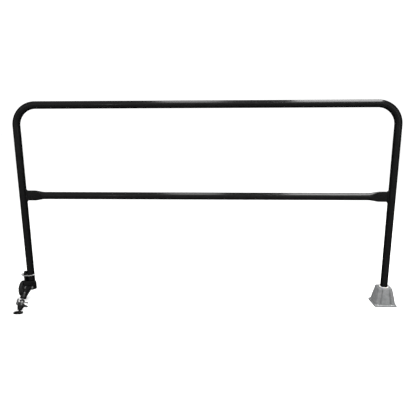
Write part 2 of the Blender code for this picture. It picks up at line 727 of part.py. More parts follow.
def pivot_bolt_parts():
    """Button-head bolt, two washers and a nut that hold the arm in the yoke."""
    towards_nut = (-1, 0, 0)
    face = YOKE_HALF_WIDTH + GAP
    under_head = -face - WASHER - GAP
    nut_at = face + WASHER + GAP
    bolt_end = nut_at + PIVOT_NUT + 2 * CHAMFER
    profile = [
        (0.0, under_head - PIVOT_HEAD), (PIVOT_HEAD_R * 0.7, under_head - PIVOT_HEAD),
        (PIVOT_HEAD_R, under_head - PIVOT_HEAD * 0.4), (PIVOT_HEAD_R, under_head),
        (PIVOT_BOLT_R, under_head), (PIVOT_BOLT_R, bolt_end - CHAMFER),
        (PIVOT_BOLT_R - CHAMFER, bolt_end), (0.0, bolt_end),
    ]
    turned_part("arm_pivot_bolt", profile, ARM_PIVOT, towards_nut, steel("bolt_steel"), SMALL)
    bore = PIVOT_BOLT_R + GAP
    for side, low in (("right", -face - WASHER), ("left", face)):
        washer = ring(bore, PIVOT_WASHER_R, low, low + WASHER)
        turned_part("arm_pivot_washer_" + side, washer, ARM_PIVOT, towards_nut,
                    steel("pivot_washer_steel"), SMALL)
    hex_nut("arm_pivot_nut", ARM_PIVOT, towards_nut, PIVOT_NUT_R, nut_at, nut_at + PIVOT_NUT, bore,
            steel("pivot_nut_steel"))


def ball_distance():
    """From the boss down the jack's axis to the foot's ball."""
    return (JACK_TOP.z - BALL_Z) / math.cos(JACK_TILT)


def jack_spindle():
    """Screw through the arm's boss, which ends in the thrust cone."""
    profile = rod(SPINDLE_R, -SPINDLE_UP, SPINDLE_END, CHAMFER)
    spindle = turned_part("jack_spindle", profile, JACK_TOP, JACK_DOWN, steel("spindle_steel"), SMALL)
    drill_for_bar(spindle)


def across_jack(turn):
    """Direction square to the jack's axis, turned from +X."""
    sideways = Vector((1, 0, 0))
    return sideways * math.cos(turn) + JACK_DOWN.cross(sideways) * math.sin(turn)


def drill_for_bar(target):
    """Cross hole for the tommy bar."""
    reach = across_jack(BAR_TURN) * (2 * HEAD_R)
    centre = JACK_TOP + JACK_DOWN * BAR_AT
    drill(target, centre - reach, centre + reach, BAR_R + RUNNING)


def screw_head_parts():
    """Collar and head pinned on the spindle, with a tommy bar through the head."""
    bore = SPINDLE_R + GAP
    collar = ring(bore, COLLAR_R, *JACK_COLLAR, CHAMFER)
    turned_part("jack_collar", collar, JACK_TOP, JACK_DOWN, black_coat("jack_collar_coat"))
    head_profile = ring(bore, HEAD_R, *SCREW_HEAD, CHAMFER)
    head = turned_part("screw_head", head_profile, JACK_TOP, JACK_DOWN, steel("head_steel"))
    drill_for_bar(head)
    bead = []
    for i in range(6):
        angle = math.radians(140 * i / 5)
        height = BAR_BEAD_R - BAR_BEAD_R * math.cos(angle) - BAR_HALF
        bead.append((BAR_BEAD_R * math.sin(angle), height))
    half = bead + [(BAR_R, bead[-1][1])]
    profile = half + [(radius, -height) for radius, height in reversed(half)]
    along = across_jack(BAR_TURN)
    centre = JACK_TOP + JACK_DOWN * BAR_AT + along * BAR_SHIFT
    turned_part("tommy_bar", profile, centre, along, steel("bar_steel"), SMALL)


KNOB_JOIN = KNOB_R - 0.004             # inside the hub, for a sound join


def lug_outline():
    """Outline (radius, height down the jack) of the knob's short lug."""
    middle = (KNOB[0] + KNOB[1]) / 2
    outline = [(KNOB_JOIN, KNOB[1] - CHAMFER), (KNOB_R, KNOB[1] - CHAMFER)]
    outline += arc((LUG_REACH - WING_TIP_R, middle), WING_TIP_R, 70, -70, 8)
    outline += [(KNOB_R, KNOB[0] + CHAMFER), (KNOB_JOIN, KNOB[0] + CHAMFER)]
    return outline


def wing_outline():
    """Outline (radius, height down the jack) of the knob's upright wing."""
    tip = WING_REACH - WING_TIP_R
    outline = [(KNOB_JOIN, KNOB[1] - CHAMFER), (KNOB_R, KNOB[1] - CHAMFER)]
    outline += arc((tip, KNOB[0] + WING_TIP_R), WING_TIP_R, 60, 0, 3)
    outline += arc((tip, KNOB[0] - WING_RISE), WING_TIP_R, 0, -180, 8)
    outline += [(tip - WING_TIP_R, KNOB[0] - CHAMFER), (KNOB_JOIN, KNOB[0] + CHAMFER)]
    return outline


def wing_knob():
    """Black knob that turns the screw, with a short lug and an upright wing."""
    look = material("knob_plastic", (0.015, 0.015, 0.015), 0.0, 0.3)
    knob = turned_part("wing_knob", rod(KNOB_R, *KNOB, CHAMFER), JACK_TOP, JACK_DOWN, look)
    for number, outline in enumerate((lug_outline(), wing_outline())):
        out = across_jack(WING_TURN + number * math.pi)
        across = JACK_DOWN.cross(out)

        def place(u, v, w, out=out, across=across):
            return JACK_TOP + out * u + JACK_DOWN * v + across * w

        bm = bmesh.new()
        extruded(bm, outline, -WING_HALF, WING_HALF, place)
        wing = finish(f"wing_guide_{number}", bm, look)
        combine(knob, wing, "UNION")
    drill(knob, JACK_TOP, JACK_TOP + JACK_DOWN * (KNOB[1] + 0.01), SPINDLE_R + GAP)


def jack_cone():
    """Tapered thrust cone that the screw turns in, with the foot's ball on its end."""
    bore = SPINDLE_R + RUNNING
    bore_end = SPINDLE_END + GAP
    low, high = CONE
    profile = [
        (0.0, bore_end), (bore, bore_end), (bore, low), (CONE_R - CHAMFER, low), (CONE_R, low + CHAMFER),
        (CONE_END_R, high), (BALL_NECK_R, high + CHAMFER),
    ]
    centre = ball_distance()
    neck = math.pi - math.asin(BALL_NECK_R / BALL_R)
    steps = 8
    for i in range(steps):
        angle = neck * (1 - i / steps)
        profile.append((BALL_R * math.sin(angle), centre + BALL_R * math.cos(angle)))
    profile.append((0.0, centre + BALL_R))
    turned_part("jack_cone", profile, JACK_TOP, JACK_DOWN, black_coat("cone_coat"))


def stadium(centre, half_length, half_width, steps=8):
    """Outline of a bar with round ends, along the rail."""
    reach = half_length - half_width
    outline = arc((centre.x + reach, centre.y), half_width, -90, 90, steps)
    outline += arc((centre.x - reach, centre.y), half_width, 90, 270, steps)
    return outline


def foot_parts():
    """Swivel foot, a round-ended plate with a ball cup, on a rubber pad."""
    ball = JACK_TOP + JACK_DOWN * ball_distance()
    centre = ball + Vector((FOOT_OFFSET, 0, 0))
    low = PAD + GAP
    top = low + FOOT_PLATE
    levels = ((0.0, low), (0.0, top - CHAMFER), (2 * CHAMFER, top))
    bm = bmesh.new()
    loft(bm, [[(x, y, z) for x, y in stadium(centre, FOOT_HALF_LENGTH - inset, FOOT_HALF_WIDTH - inset)]
              for inset, z in levels], wrap=False)
    plate = finish("foot_plate", bm, black_coat("foot_coat"), ball)

    on_floor = Vector((ball.x, ball.y, 0.0))
    skirt = FOOT_CUP_R + 0.003
    cup = [(0.0, low + CHAMFER), (skirt, low + CHAMFER), (skirt, top + CHAMFER / 2),
           (FOOT_CUP_R, BALL_Z - CHAMFER), (FOOT_CUP_R - CHAMFER, BALL_Z), (0.0, BALL_Z)]
    guide = turned_part("foot_cup_guide", cup, on_floor, (0, 0, 1), black_coat("cup_guide"))
    combine(plate, guide, "UNION")
    socket_r = BALL_R + RUNNING
    socket = [(0.0, BALL_Z - socket_r)]
    steps = 8
    for i in range(1, steps + 1):
        angle = math.pi / 2 * i / steps
        socket.append((socket_r * math.sin(angle), BALL_Z - socket_r * math.cos(angle)))
    above = BALL_Z + BALL_R
    socket += [(socket_r, above), (0.0, above)]
    hollow = turned_part("foot_socket_guide", socket, on_floor, (0, 0, 1), black_coat("socket_guide"))
    combine(plate, hollow, "DIFFERENCE")

    bm = bmesh.new()
    outline = stadium(centre, FOOT_HALF_LENGTH - CHAMFER, FOOT_HALF_WIDTH - CHAMFER)
    loft(bm, [[(x, y, z) for x, y in outline] for z in (0.0, PAD)], wrap=False)
    finish("foot_pad", bm, material("pad_rubber", (0.02, 0.02, 0.02), 0.0, 0.8), ball)


# --------------------------------------------------------------------- build

def build():
    clear_scene()
    hoop_tube()
    mid_rail()
    weld_bead("mid_rail_weld_left", LEG_X, 1.0)
    weld_bead("mid_rail_weld_right", 0.0, -1.0)
    leg_plug()
    base_casting()
    pivot_bush()
    thrust_disc()
    pivot_set_screw()
    leg_collar()
    wheel_lug()
    front_plate()
    stabiliser_yoke()
    wheel_parts()
    axle_parts()
    lock_pin()
    pin_bail()
    stabiliser_arm()
    pivot_bolt_parts()
    jack_spindle()
    screw_head_parts()
    wing_knob()
    jack_cone()
    foot_parts()


build()
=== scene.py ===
"""Looks of the swing-away pool handrail.

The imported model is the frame. Each of its nodes is replaced by a fine mesh on the same axes,
with the threads, welds, fillets and mouldings that the plain solids leave out.
"""

import json
from math import asin, atan2, cos, degrees, exp, pi, radians, sin, sqrt, tau

import bmesh
import bpy
from mathutils import Matrix, Vector


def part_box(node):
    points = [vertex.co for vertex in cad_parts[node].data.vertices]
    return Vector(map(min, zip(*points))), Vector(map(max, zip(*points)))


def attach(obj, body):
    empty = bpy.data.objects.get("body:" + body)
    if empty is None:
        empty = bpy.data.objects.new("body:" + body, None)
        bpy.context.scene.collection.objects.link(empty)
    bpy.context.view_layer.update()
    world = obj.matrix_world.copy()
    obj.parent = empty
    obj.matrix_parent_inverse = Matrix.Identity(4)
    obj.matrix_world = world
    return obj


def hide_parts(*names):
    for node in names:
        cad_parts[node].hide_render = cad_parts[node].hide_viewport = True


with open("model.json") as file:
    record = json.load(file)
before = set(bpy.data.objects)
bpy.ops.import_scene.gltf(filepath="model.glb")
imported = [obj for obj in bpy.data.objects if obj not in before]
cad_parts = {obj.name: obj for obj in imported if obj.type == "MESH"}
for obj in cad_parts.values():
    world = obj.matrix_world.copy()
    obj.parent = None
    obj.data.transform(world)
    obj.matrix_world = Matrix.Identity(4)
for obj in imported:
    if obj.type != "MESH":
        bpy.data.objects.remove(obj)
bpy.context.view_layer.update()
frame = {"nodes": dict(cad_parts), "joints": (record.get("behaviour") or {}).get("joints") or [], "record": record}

# ---- sizes read off the frame

UP = Vector((0.0, 0.0, 1.0))
RIGHT = Vector((1.0, 0.0, 0.0))
OUTWARD = Vector((-1.0, 0.0, 0.0))  # from the left leg towards the wheel
BACKWARD = Vector((0.0, 1.0, 0.0))  # away from the camera

BODY_OF = {node: body for body, nodes in frame["record"]["behaviour"]["bodies"].items()
           for node in nodes}
SLOT_OF = {part["node"]: part["material_slot"] for part in frame["record"]["subparts"]}
JOINTS = {joint["name"]: joint for joint in frame["joints"]}


def joint_point(name):
    return Vector(JOINTS[name]["pos_m"])


def measured(node, origin, axis):
    """Where a turned CAD node starts and ends along its axis, and its inner and outer radius."""
    heights = []
    radii = []
    for vert in frame["nodes"][node].data.vertices:
        arm = vert.co - origin
        height = arm.dot(axis)
        heights.append(height)
        radii.append((arm - axis * height).length)
    return min(heights), max(heights), min(radii), max(radii)


HOOP_LOW, HOOP_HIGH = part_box("hoop_tube")
TUBE_R = HOOP_HIGH.y
TUBE_WALL = 0.0026
BEND_RADIUS = 0.106
LEG_X = HOOP_LOW.x + TUBE_R
LEG = Vector((LEG_X, 0.0, 0.0))
RAIL_Z = HOOP_HIGH.z - TUBE_R
MID_LOW, MID_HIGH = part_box("mid_rail")
MID_Z = (MID_LOW.z + MID_HIGH.z) / 2
GAP = 0.0003
RUNNING = 0.00035

AXLE = Vector((LEG_X, 0.0, joint_point("wheel_roll").z))
BAIL_PIVOT = joint_point("bail_swing")
PIN_AXIS_POINT = Vector((LEG_X, 0.0, BAIL_PIVOT.z))
ARM_PIVOT = joint_point("arm_fold")
JACK_TOP = joint_point("screw_turn")
JACK_DOWN = Vector(JOINTS["screw_turn"]["axis"]).normalized()
JACK = (JACK_TOP, JACK_DOWN)
BAR_AXIS = Vector(JOINTS["bar_slide"]["axis"]).normalized()
FOOT_BALL = joint_point("foot_tilt")

ROUND = 96
SMALL = 48


# ---- mesh helpers

def linked(name, data):
    """New object in the scene."""
    made = bpy.data.objects.new(name, data)
    bpy.context.scene.collection.objects.link(made)
    return made


def finish(name, bm, angle=35.0):
    """Turn a bmesh made in world coordinates into an object at the origin."""
    bmesh.ops.remove_doubles(bm, verts=bm.verts, dist=1e-6)
    bmesh.ops.recalc_face_normals(bm, faces=bm.faces)
    mesh = bpy.data.meshes.new(name)
    bm.to_mesh(mesh)
    bm.free()
    mesh.shade_smooth()
    mesh.set_sharp_from_angle(angle=radians(angle))
    return linked(name, mesh)


def modify(made, kind, **settings):
    """Bake one modifier into an object's mesh."""
    step = made.modifiers.new(kind.lower(), kind)
    for name, value in settings.items():
        setattr(step, name, value)
    graph = bpy.context.evaluated_depsgraph_get()
    mesh = bpy.data.meshes.new_from_object(made.evaluated_get(graph))
    made.modifiers.clear()
    made.data = mesh


def cut(made, tool, operation="DIFFERENCE"):
    """Boolean that removes its tool afterwards."""
    modify(made, "BOOLEAN", operation=operation, solver="EXACT", object=tool)
    bpy.data.objects.remove(tool, do_unlink=True)


def eased(made, width, segments=2, angle=30.0):
    """Round the sharp edges of a mesh."""
    modify(made, "BEVEL", width=width, segments=segments, limit_method="ANGLE",
           angle_limit=radians(angle), use_clamp_overlap=True)
    made.data.shade_smooth()
    made.data.set_sharp_from_angle(angle=radians(40.0))
    return made


def circle(radius, sides):
    """Points round the origin, the first on the first axis."""
    return [(radius * cos(tau * k / sides), radius * sin(tau * k / sides))
            for k in range(sides)]


def arc(centre, radius, start_deg, end_deg, steps):
    """Points on an arc, both ends included."""
    points = []
    for i in range(steps + 1):
        angle = radians(start_deg + (end_deg - start_deg) * i / steps)
        points.append((centre[0] + radius * cos(angle), centre[1] + radius * sin(angle)))
    return points


def softened(profile, size, steps=4):
    """Round each corner of a (radius, height) profile; points on the axis stay."""
    count = len(profile)
    points = []
    for i, (radius, height) in enumerate(profile):
        corner = Vector((radius, height))
        back = Vector(profile[i - 1]) - corner
        ahead = Vector(profile[(i + 1) % count]) - corner
        if radius == 0.0 or back.length < 1e-7 or ahead.length < 1e-7:
            points.append((radius, height))
            continue
        reach = min(size, back.length * 0.45, ahead.length * 0.45)
        start = corner + back.normalized() * reach
        end = corner + ahead.normalized() * reach
        for k in range(steps + 1):
            t = k / steps
            spot = start * (1 - t) ** 2 + corner * 2 * t * (1 - t) + end * t * t
            points.append((spot.x, spot.y))
    return points


def upright_on(origin, axis):
    """Matrix that carries +Z to an axis through a point."""
    return Matrix.Translation(origin) @ UP.rotation_difference(axis).to_matrix().to_4x4()


def turned(name, profile, origin, axis, sides=ROUND):
    """Spin a profile of (radius, height) about an axis."""
    place = upright_on(origin, axis)
    closed = profile[0][0] > 0.0
    bm = bmesh.new()
    rings = []
    for radius, height in profile:
        if radius == 0.0:
            rings.append([bm.verts.new(place @ Vector((0.0, 0.0, height)))] * sides)
            continue
        rings.append([bm.verts.new(place @ Vector((x, y, height))) for x, y in circle(radius, sides)])
    pairs = list(zip(rings, rings[1:]))
    if closed:
        pairs.append((rings[-1], rings[0]))
    for near, far in pairs:
        for k in range(sides):
            m = (k + 1) % sides
            corners = [near[k], near[m], far[m], far[k]]
            corners = [vert for i, vert in enumerate(corners) if vert not in corners[:i]]
            if len(corners) > 2:
                bm.faces.new(corners)
    return finish(name, bm)


def rod(radius, low, high):
    return [(0.0, low), (radius, low), (radius, high), (0.0, high)]


def ring(inner, outer, low, high):
    return [(inner, low), (outer, low), (outer, high), (inner, high)]


def mirrored(profile, middle):
    """The other half of a profile, from its middle height on."""
    return [(radius, 2 * middle - height) for radius, height in reversed(profile)]


def drill(made, start, end, radius, sides=SMALL):
    """Round hole from start to end."""
    run = end - start
    cut(made, turned("drill", rod(radius, 0.0, run.length), start, run.normalized(), sides))


def cross_drill(made, centre, along, radius, sides=SMALL):
    """Round hole through a point, as far each way as the vector along."""
    drill(made, centre - along, centre + along, radius, sides)


def skinned(name, rings, wrap=False, angle=35.0):
    """Skin a row of equal rings; wrap joins the last to the first, or else both are capped."""
    bm = bmesh.new()
    rows = [[bm.verts.new(point) for point in points] for points in rings]
    pairs = list(zip(rows, rows[1:]))
    if wrap:
        pairs.append((rows[-1], rows[0]))
    for near, far in pairs:
        for i in range(len(near)):
            j = (i + 1) % len(near)
            bm.faces.new((near[i], near[j], far[j], far[i]))
    if not wrap:
        bm.faces.new(rows[0])
        bm.faces.new(rows[-1])
    return finish(name, bm, angle)


def slab(name, outline, low, high, place):
    """Extrude an outline of (u, v) from low to high; place(u, v, w) gives the point."""
    return skinned(name, [[place(u, v, w) for u, v in outline] for w in (low, high)])


def placed(origin, u_axis, v_axis, w_axis):
    """Placing function for slab: u, v and w run along three axes from an origin."""
    return lambda u, v, w: origin + u_axis * u + v_axis * v + w_axis * w


ALONG_X = placed(Vector(), BACKWARD, UP, RIGHT)
ALONG_Y = placed(Vector(), RIGHT, UP, BACKWARD)
ALONG_Z = placed(Vector(), RIGHT, BACKWARD, UP)


def smooth_route(points, steps):
    """Catmull-Rom curve through the points."""
    ends = [points[0] * 2 - points[1], *points, points[-1] * 2 - points[-2]]
    route = []
    for a, b, c, d in zip(ends, ends[1:], ends[2:], ends[3:]):
        for i in range(steps):
            t = i / steps
            route.append(0.5 * (2 * b + (c - a) * t + (2 * a - 5 * b + 4 * c - d) * t * t
                                + (3 * b - a - 3 * c + d) * t ** 3))
    route.append(points[-1])
    return route


def sweep(name, route, radius_at, sides, closed=False):
    """Round wire or bead along a route; radius_at(share of the way) gives its radius."""
    count = len(route)
    tangents = []
    for i in range(count):
        before = route[i - 1] if closed or i else route[0]
        after = route[(i + 1) % count] if closed or i < count - 1 else route[-1]
        tangents.append((after - before).normalized())
    side = tangents[0].orthogonal().normalized()
    rings = []
    for i, (centre, tangent) in enumerate(zip(route, tangents)):
        if i:
            side = tangents[i - 1].rotation_difference(tangent) @ side
        side = (side - tangent * side.dot(tangent)).normalized()
        across = tangent.cross(side)
        radius = radius_at(i / (count - 1))
        rings.append([centre + side * u + across * v for u, v in circle(radius, sides)])
    return skinned(name, rings, closed)


def weld(name, route, radius, closed=False, pitch=0.0026):
    """Weld bead: a ripple at each step of the arc along a route."""
    lengths = [(b - a).length for a, b in zip(route, route[1:])]
    total = sum(lengths)
    steps = max(8, int(total / pitch) * 8)
    spots = []
    for i in range(steps if closed else steps + 1):
        target = total * i / steps
        k = 0
        while k < len(lengths) - 1 and target > lengths[k]:
            target -= lengths[k]
            k += 1
        spots.append(route[k].lerp(route[k + 1], min(target / lengths[k], 1.0)))

    def radius_at(share):
        phase = (share * total / pitch) % 1.0
        end = 1.0 if closed else min(1.0, 0.35 + min(share, 1.0 - share) * total / radius)
        return radius * end * (0.86 + 0.14 * sqrt(max(0.0, 1.0 - (2 * phase - 1) ** 2)))

    return sweep(name, spots, radius_at, 16, closed)


def threaded_rod(name, origin, axis, crest, pitch, low, high, start, end, sides=SMALL):
    """Solid rod from low to high with a screw thread between start and end."""
    depth = pitch * 0.5
    edge = depth * 0.8
    per_turn = 8
    place = upright_on(origin, axis)
    heights = [low, low + edge]
    count = max(2, int((end - start) / pitch * per_turn))
    heights += [start + (end - start) * i / count for i in range(count + 1)]
    heights += [high - edge, high]
    heights = sorted(set(round(height, 7) for height in heights if low <= height <= high))
    rings = []
    for height in heights:
        chamfer = min(1.0, min(height - low, high - height) / edge)
        points = []
        for k in range(sides):
            angle = tau * k / sides
            radius = crest - edge * (1.0 - chamfer)
            if start <= height <= end:
                fade = min(1.0, (height - start) / pitch, (end - height) / pitch)
                wave = abs(((height / pitch - k / sides) % 1.0) * 2.0 - 1.0)
                groove = depth * fade * min(1.0, max(0.0, (wave - 0.12) / 0.76))
                radius = min(radius, crest - groove)
            points.append(place @ Vector((radius * cos(angle), radius * sin(angle), height)))
        rings.append(points)
    return skinned(name, rings, angle=50.0)


def hex_prism(name, origin, axis, corner_r, low, high):
    place = upright_on(origin, axis)
    return skinned(name, [[place @ Vector((x, y, height)) for x, y in circle(corner_r, 6)]
                          for height in (low, high)])


def hex_block(name, origin, axis, corner_r, low, high):
    """Hexagon with its corners chamfered round, as on a nut or a bolt head."""
    block = hex_prism(name, origin, axis, corner_r, low, high)
    flat = corner_r * 0.87
    drop = corner_r * 0.1
    cone = [(0.0, low), (flat, low), (corner_r * 1.01, low + drop), (corner_r * 1.01, high - drop),
            (flat, high), (0.0, high)]
    cut(block, turned(name + "_cone", cone, origin, axis), "INTERSECT")
    return eased(block, 0.00015, 1)


# ---- materials

def grey(shade):
    return (shade, shade, shade)


def feed(tree, socket, value):
    """Give a node's input a plain value, or link the output of another node to it."""
    if isinstance(value, bpy.types.NodeSocket):
        tree.links.new(value, socket)
    else:
        socket.default_value = value


def add_node(tree, kind, inputs, **settings):
    """Add a shader node, feed its inputs and return its outputs."""
    node = tree.nodes.new("ShaderNode" + kind)
    for name, value in settings.items():
        setattr(node, name, value)
    for socket, value in inputs.items():
        feed(tree, node.inputs[socket], value)
    return node.outputs


def map_range(tree, source, ranges, interpolation="LINEAR"):
    """Map a value, clamped; the ranges are from low, from high, to low and to high."""
    inputs = {"Value": source, **dict(zip(("From Min", "From Max", "To Min", "To Max"), ranges))}
    return add_node(tree, "MapRange", inputs, interpolation_type=interpolation)["Result"]


class Look:
    """A Principled material with short calls for its procedural detail.

    The colour and roughness that it starts with are its plain values; most looks vary both.
    """

    def __init__(self, name, colour, metallic, roughness, **values):
        self.material = bpy.data.materials.new(name)
        self.material.use_nodes = True
        self.tree = self.material.node_tree
        self.place = add_node(self.tree, "TexCoord", {})["Object"]
        self.set(Base_Color=(*colour, 1.0), Metallic=metallic, Roughness=roughness, **values)

    def set(self, **values):
        """Feed inputs of the shader; an underscore stands for a space in their names."""
        inputs = self.tree.nodes["Principled BSDF"].inputs
        for name, value in values.items():
            feed(self.tree, inputs[name.replace("_", " ")], value)
        return self

    def noise(self, scale, detail=2.0, stretch=None, roughness=0.5, distortion=0.0):
        place = self.place
        if stretch:
            place = add_node(self.tree, "Mapping", {"Scale": stretch, "Vector": place})["Vector"]
        inputs = {"Vector": place, "Scale": scale, "Detail": detail,
                  "Roughness": roughness, "Distortion": distortion}
        return add_node(self.tree, "TexNoise", inputs)["Fac"]

    def cells(self, scale):
        return add_node(self.tree, "TexVoronoi", {"Vector": self.place, "Scale": scale})["Distance"]

    def spread(self, source, *ranges):
        return map_range(self.tree, source, ranges)

    def sum(self, first, second, share):
        inputs = {0: second, 1: share, 2: first}
        return add_node(self.tree, "Math", inputs, operation="MULTIPLY_ADD")[0]

    def colour(self, share, first, second):
        """Colour that goes from first to second while the share goes from 0 to 1."""
        inputs = {0: share, 6: (*first, 1.0), 7: (*second, 1.0)}
        return self.set(Base_Color=add_node(self.tree, "Mix", inputs, data_type="RGBA")[2])

    def mottle(self, source, low, high, first, second):
        """Colour that goes from first to second while the source goes from low to high."""
        return self.colour(self.spread(source, low, high, 0.0, 1.0), first, second)

    def roughen(self, source, low, high, first, second):
        """Roughness that goes from first to second while the source goes from low to high."""
        return self.set(Roughness=self.spread(source, low, high, first, second))

    def bump(self, height, distance, strength):
        inputs = {"Height": height, "Distance": distance, "Strength": strength}
        return self.set(Normal=add_node(self.tree, "Bump", inputs)["Normal"])


def gloss_black_coat():
    """Gloss powder coat: orange peel, faint dulling from hands and a little settled dust."""
    look = Look("gloss_black_coat", grey(0.003), 0.0, 0.16, Specular_IOR_Level=0.32)
    dust = look.noise(26.0, 5.0, distortion=0.6)
    look.mottle(dust, 0.45, 0.8, (0.0022, 0.0022, 0.0023), (0.0042, 0.0042, 0.0043))
    smears = look.noise(9.0, 4.0, stretch=(0.35, 1.0, 1.0))
    look.roughen(smears, 0.35, 0.7, 0.13, 0.21)
    peel = look.noise(420.0, 2.0)
    fine = look.noise(1500.0, 1.0)
    return look.bump(look.sum(peel, fine, 0.25), 0.00006, 0.15).material


def satin_black_coat():
    """Satin powder coat on the bracket: tighter grain, scuffed a little lighter in places."""
    look = Look("satin_black_coat", grey(0.005), 0.0, 0.38, Specular_IOR_Level=0.3)
    scuffs = look.noise(160.0, 6.0, roughness=0.7)
    look.mottle(scuffs, 0.6, 0.78, grey(0.0035), grey(0.014))
    look.roughen(look.noise(60.0, 4.0), 0.35, 0.7, 0.3, 0.5)
    grain = look.cells(1700.0)
    return look.bump(look.sum(grain, look.noise(600.0, 2.0), 0.8), 0.00012, 0.5).material


def cast_aluminium():
    """Bead-blasted casting: fine grain, slow waves from the mould and a duller skin in patches."""
    look = Look("cast_aluminium", (0.24, 0.24, 0.25), 0.5, 0.42)
    patches = look.noise(55.0, 6.0, roughness=0.6, distortion=0.4)
    look.mottle(patches, 0.3, 0.72, (0.205, 0.21, 0.212), (0.3, 0.305, 0.308))
    look.roughen(look.noise(90.0, 4.0), 0.3, 0.75, 0.36, 0.54)
    grain = look.noise(2200.0, 3.0, roughness=0.7)
    waves = look.noise(120.0, 3.0)
    pits = look.spread(look.cells(900.0), 0.0, 0.16, 0.0, 1.0)
    rough = look.sum(look.sum(grain, waves, 1.6), pits, 0.5)
    return look.bump(rough, 0.00018, 0.6).material


def zinc_plate():
    """Handled zinc plate: drawn lines, a cool tint that wanders and dulled patches."""
    look = Look("zinc_plate", grey(0.3), 0.9, 0.42)
    look.mottle(look.noise(140.0, 3.0), 0.35, 0.68, (0.26, 0.27, 0.28), (0.33, 0.32, 0.3))
    look.roughen(look.noise(320.0, 5.0, roughness=0.7), 0.3, 0.75, 0.34, 0.54)
    lines = look.noise(900.0, 3.0, stretch=(0.15, 1.0, 3.0))
    return look.bump(lines, 0.00005, 0.35).material


def pin_plate():
    """Fresh zinc plate on the pin and its wire: paler and more even than on the worn screw."""
    look = Look("pin_plate", (0.8, 0.8, 0.79), 0.85, 0.4)
    look.mottle(look.noise(180.0, 3.0), 0.35, 0.68, (0.76, 0.77, 0.78), (0.84, 0.83, 0.8))
    look.roughen(look.noise(260.0, 4.0), 0.3, 0.75, 0.32, 0.5)
    return look.bump(look.noise(1100.0, 2.0, stretch=(0.2, 1.0, 1.0)), 0.00004, 0.3).material


def white_nylon():
    """Moulded nylon: a little light passes into it, with faint flow marks."""
    look = Look("white_nylon", (0.8, 0.8, 0.78), 0.0, 0.38,
                Subsurface_Weight=0.15, Subsurface_Scale=0.002)
    look.colour(look.noise(80.0, 4.0), (0.72, 0.72, 0.69), (0.86, 0.86, 0.84))
    look.roughen(look.noise(240.0, 3.0), 0.3, 0.7, 0.3, 0.46)
    return look.bump(look.noise(1200.0, 2.0), 0.00006, 0.5).material


def tyre_rubber():
    """Solid rubber tyre: fine grain, with a grey bloom and dust from the deck."""
    look = Look("tyre_rubber", grey(0.02), 0.0, 0.68)
    bloom = look.noise(110.0, 6.0, roughness=0.65)
    look.mottle(bloom, 0.42, 0.75, grey(0.004), (0.016, 0.0155, 0.015))
    look.roughen(bloom, 0.35, 0.75, 0.55, 0.85)
    grain = look.sum(look.noise(1800.0, 3.0, roughness=0.7), look.noise(420.0, 2.0), 0.7)
    return look.bump(grain, 0.00016, 0.6).material


def glass_filled_plastic(name, shade, low, high):
    """Black moulding with a spark-eroded grain and paler fibre specks."""
    look = Look(name, grey(shade), 0.0, high)
    specks = look.noise(2600.0, 2.0, roughness=0.8)
    look.mottle(specks, 0.62, 0.8, grey(shade), grey(shade * 2.6))
    look.roughen(look.noise(150.0, 4.0), 0.3, 0.7, low, high)
    return look.bump(look.sum(look.cells(1500.0), specks, 0.5), 0.00008, 0.5).material


def sintered_bronze():
    """Oil-filled bush: open pores and a dull brown skin."""
    look = Look("sintered_bronze", (0.5, 0.38, 0.2), 1.0, 0.4)
    pores = look.spread(look.cells(2400.0), 0.05, 0.3, 0.0, 1.0)
    look.colour(pores, (0.2, 0.14, 0.07), (0.56, 0.42, 0.23))
    look.roughen(look.noise(400.0, 3.0), 0.3, 0.7, 0.3, 0.52)
    return look.bump(pores, 0.00006, 0.6).material


LOOKS = {
    "black_coat": gloss_black_coat(),
    "bracket_coat": satin_black_coat(),
    "cast_aluminium": cast_aluminium(),
    "nylon": white_nylon(),
    "plug_plastic": glass_filled_plastic("plug_plastic", 0.02, 0.42, 0.58),
    "zinc_steel": zinc_plate(),
    "pin_steel": pin_plate(),
    "tyre_rubber": tyre_rubber(),
    "hub_plastic": glass_filled_plastic("hub_plastic", 0.03, 0.36, 0.52),
    "bronze": sintered_bronze(),
    "knob_plastic": glass_filled_plastic("knob_plastic", 0.015, 0.24, 0.38),
    "pad_rubber": tyre_rubber(),
}


def dress(piece, slot_name, body, look_name=None):
    """Give a piece its material and let it ride on a body."""
    piece.data.materials.clear()
    piece.data.materials.append(LOOKS[look_name or slot_name])
    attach(piece, body)
    return piece


def stands_for(piece, node, look_name=None):
    """A fine piece takes the place of one CAD node."""
    dress(piece, SLOT_OF[node], BODY_OF[node], look_name)
    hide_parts(node)
    return piece


def turned_for(node, name, profile, origin, axis, ease, sides=ROUND):
    """A turned piece with eased corners in place of one CAD node."""
    return stands_for(turned(name, softened(profile, ease), origin, axis, sides), node)


def ring_for(node, name, origin, axis, ease, sides=SMALL):
    """A plain ring in place of one CAD node, of the node's own size."""
    low, high, inner, outer = measured(node, origin, axis)
    return turned_for(node, name, ring(inner, outer, low, high), origin, axis, ease, sides)


# ---- hoop, mid rail

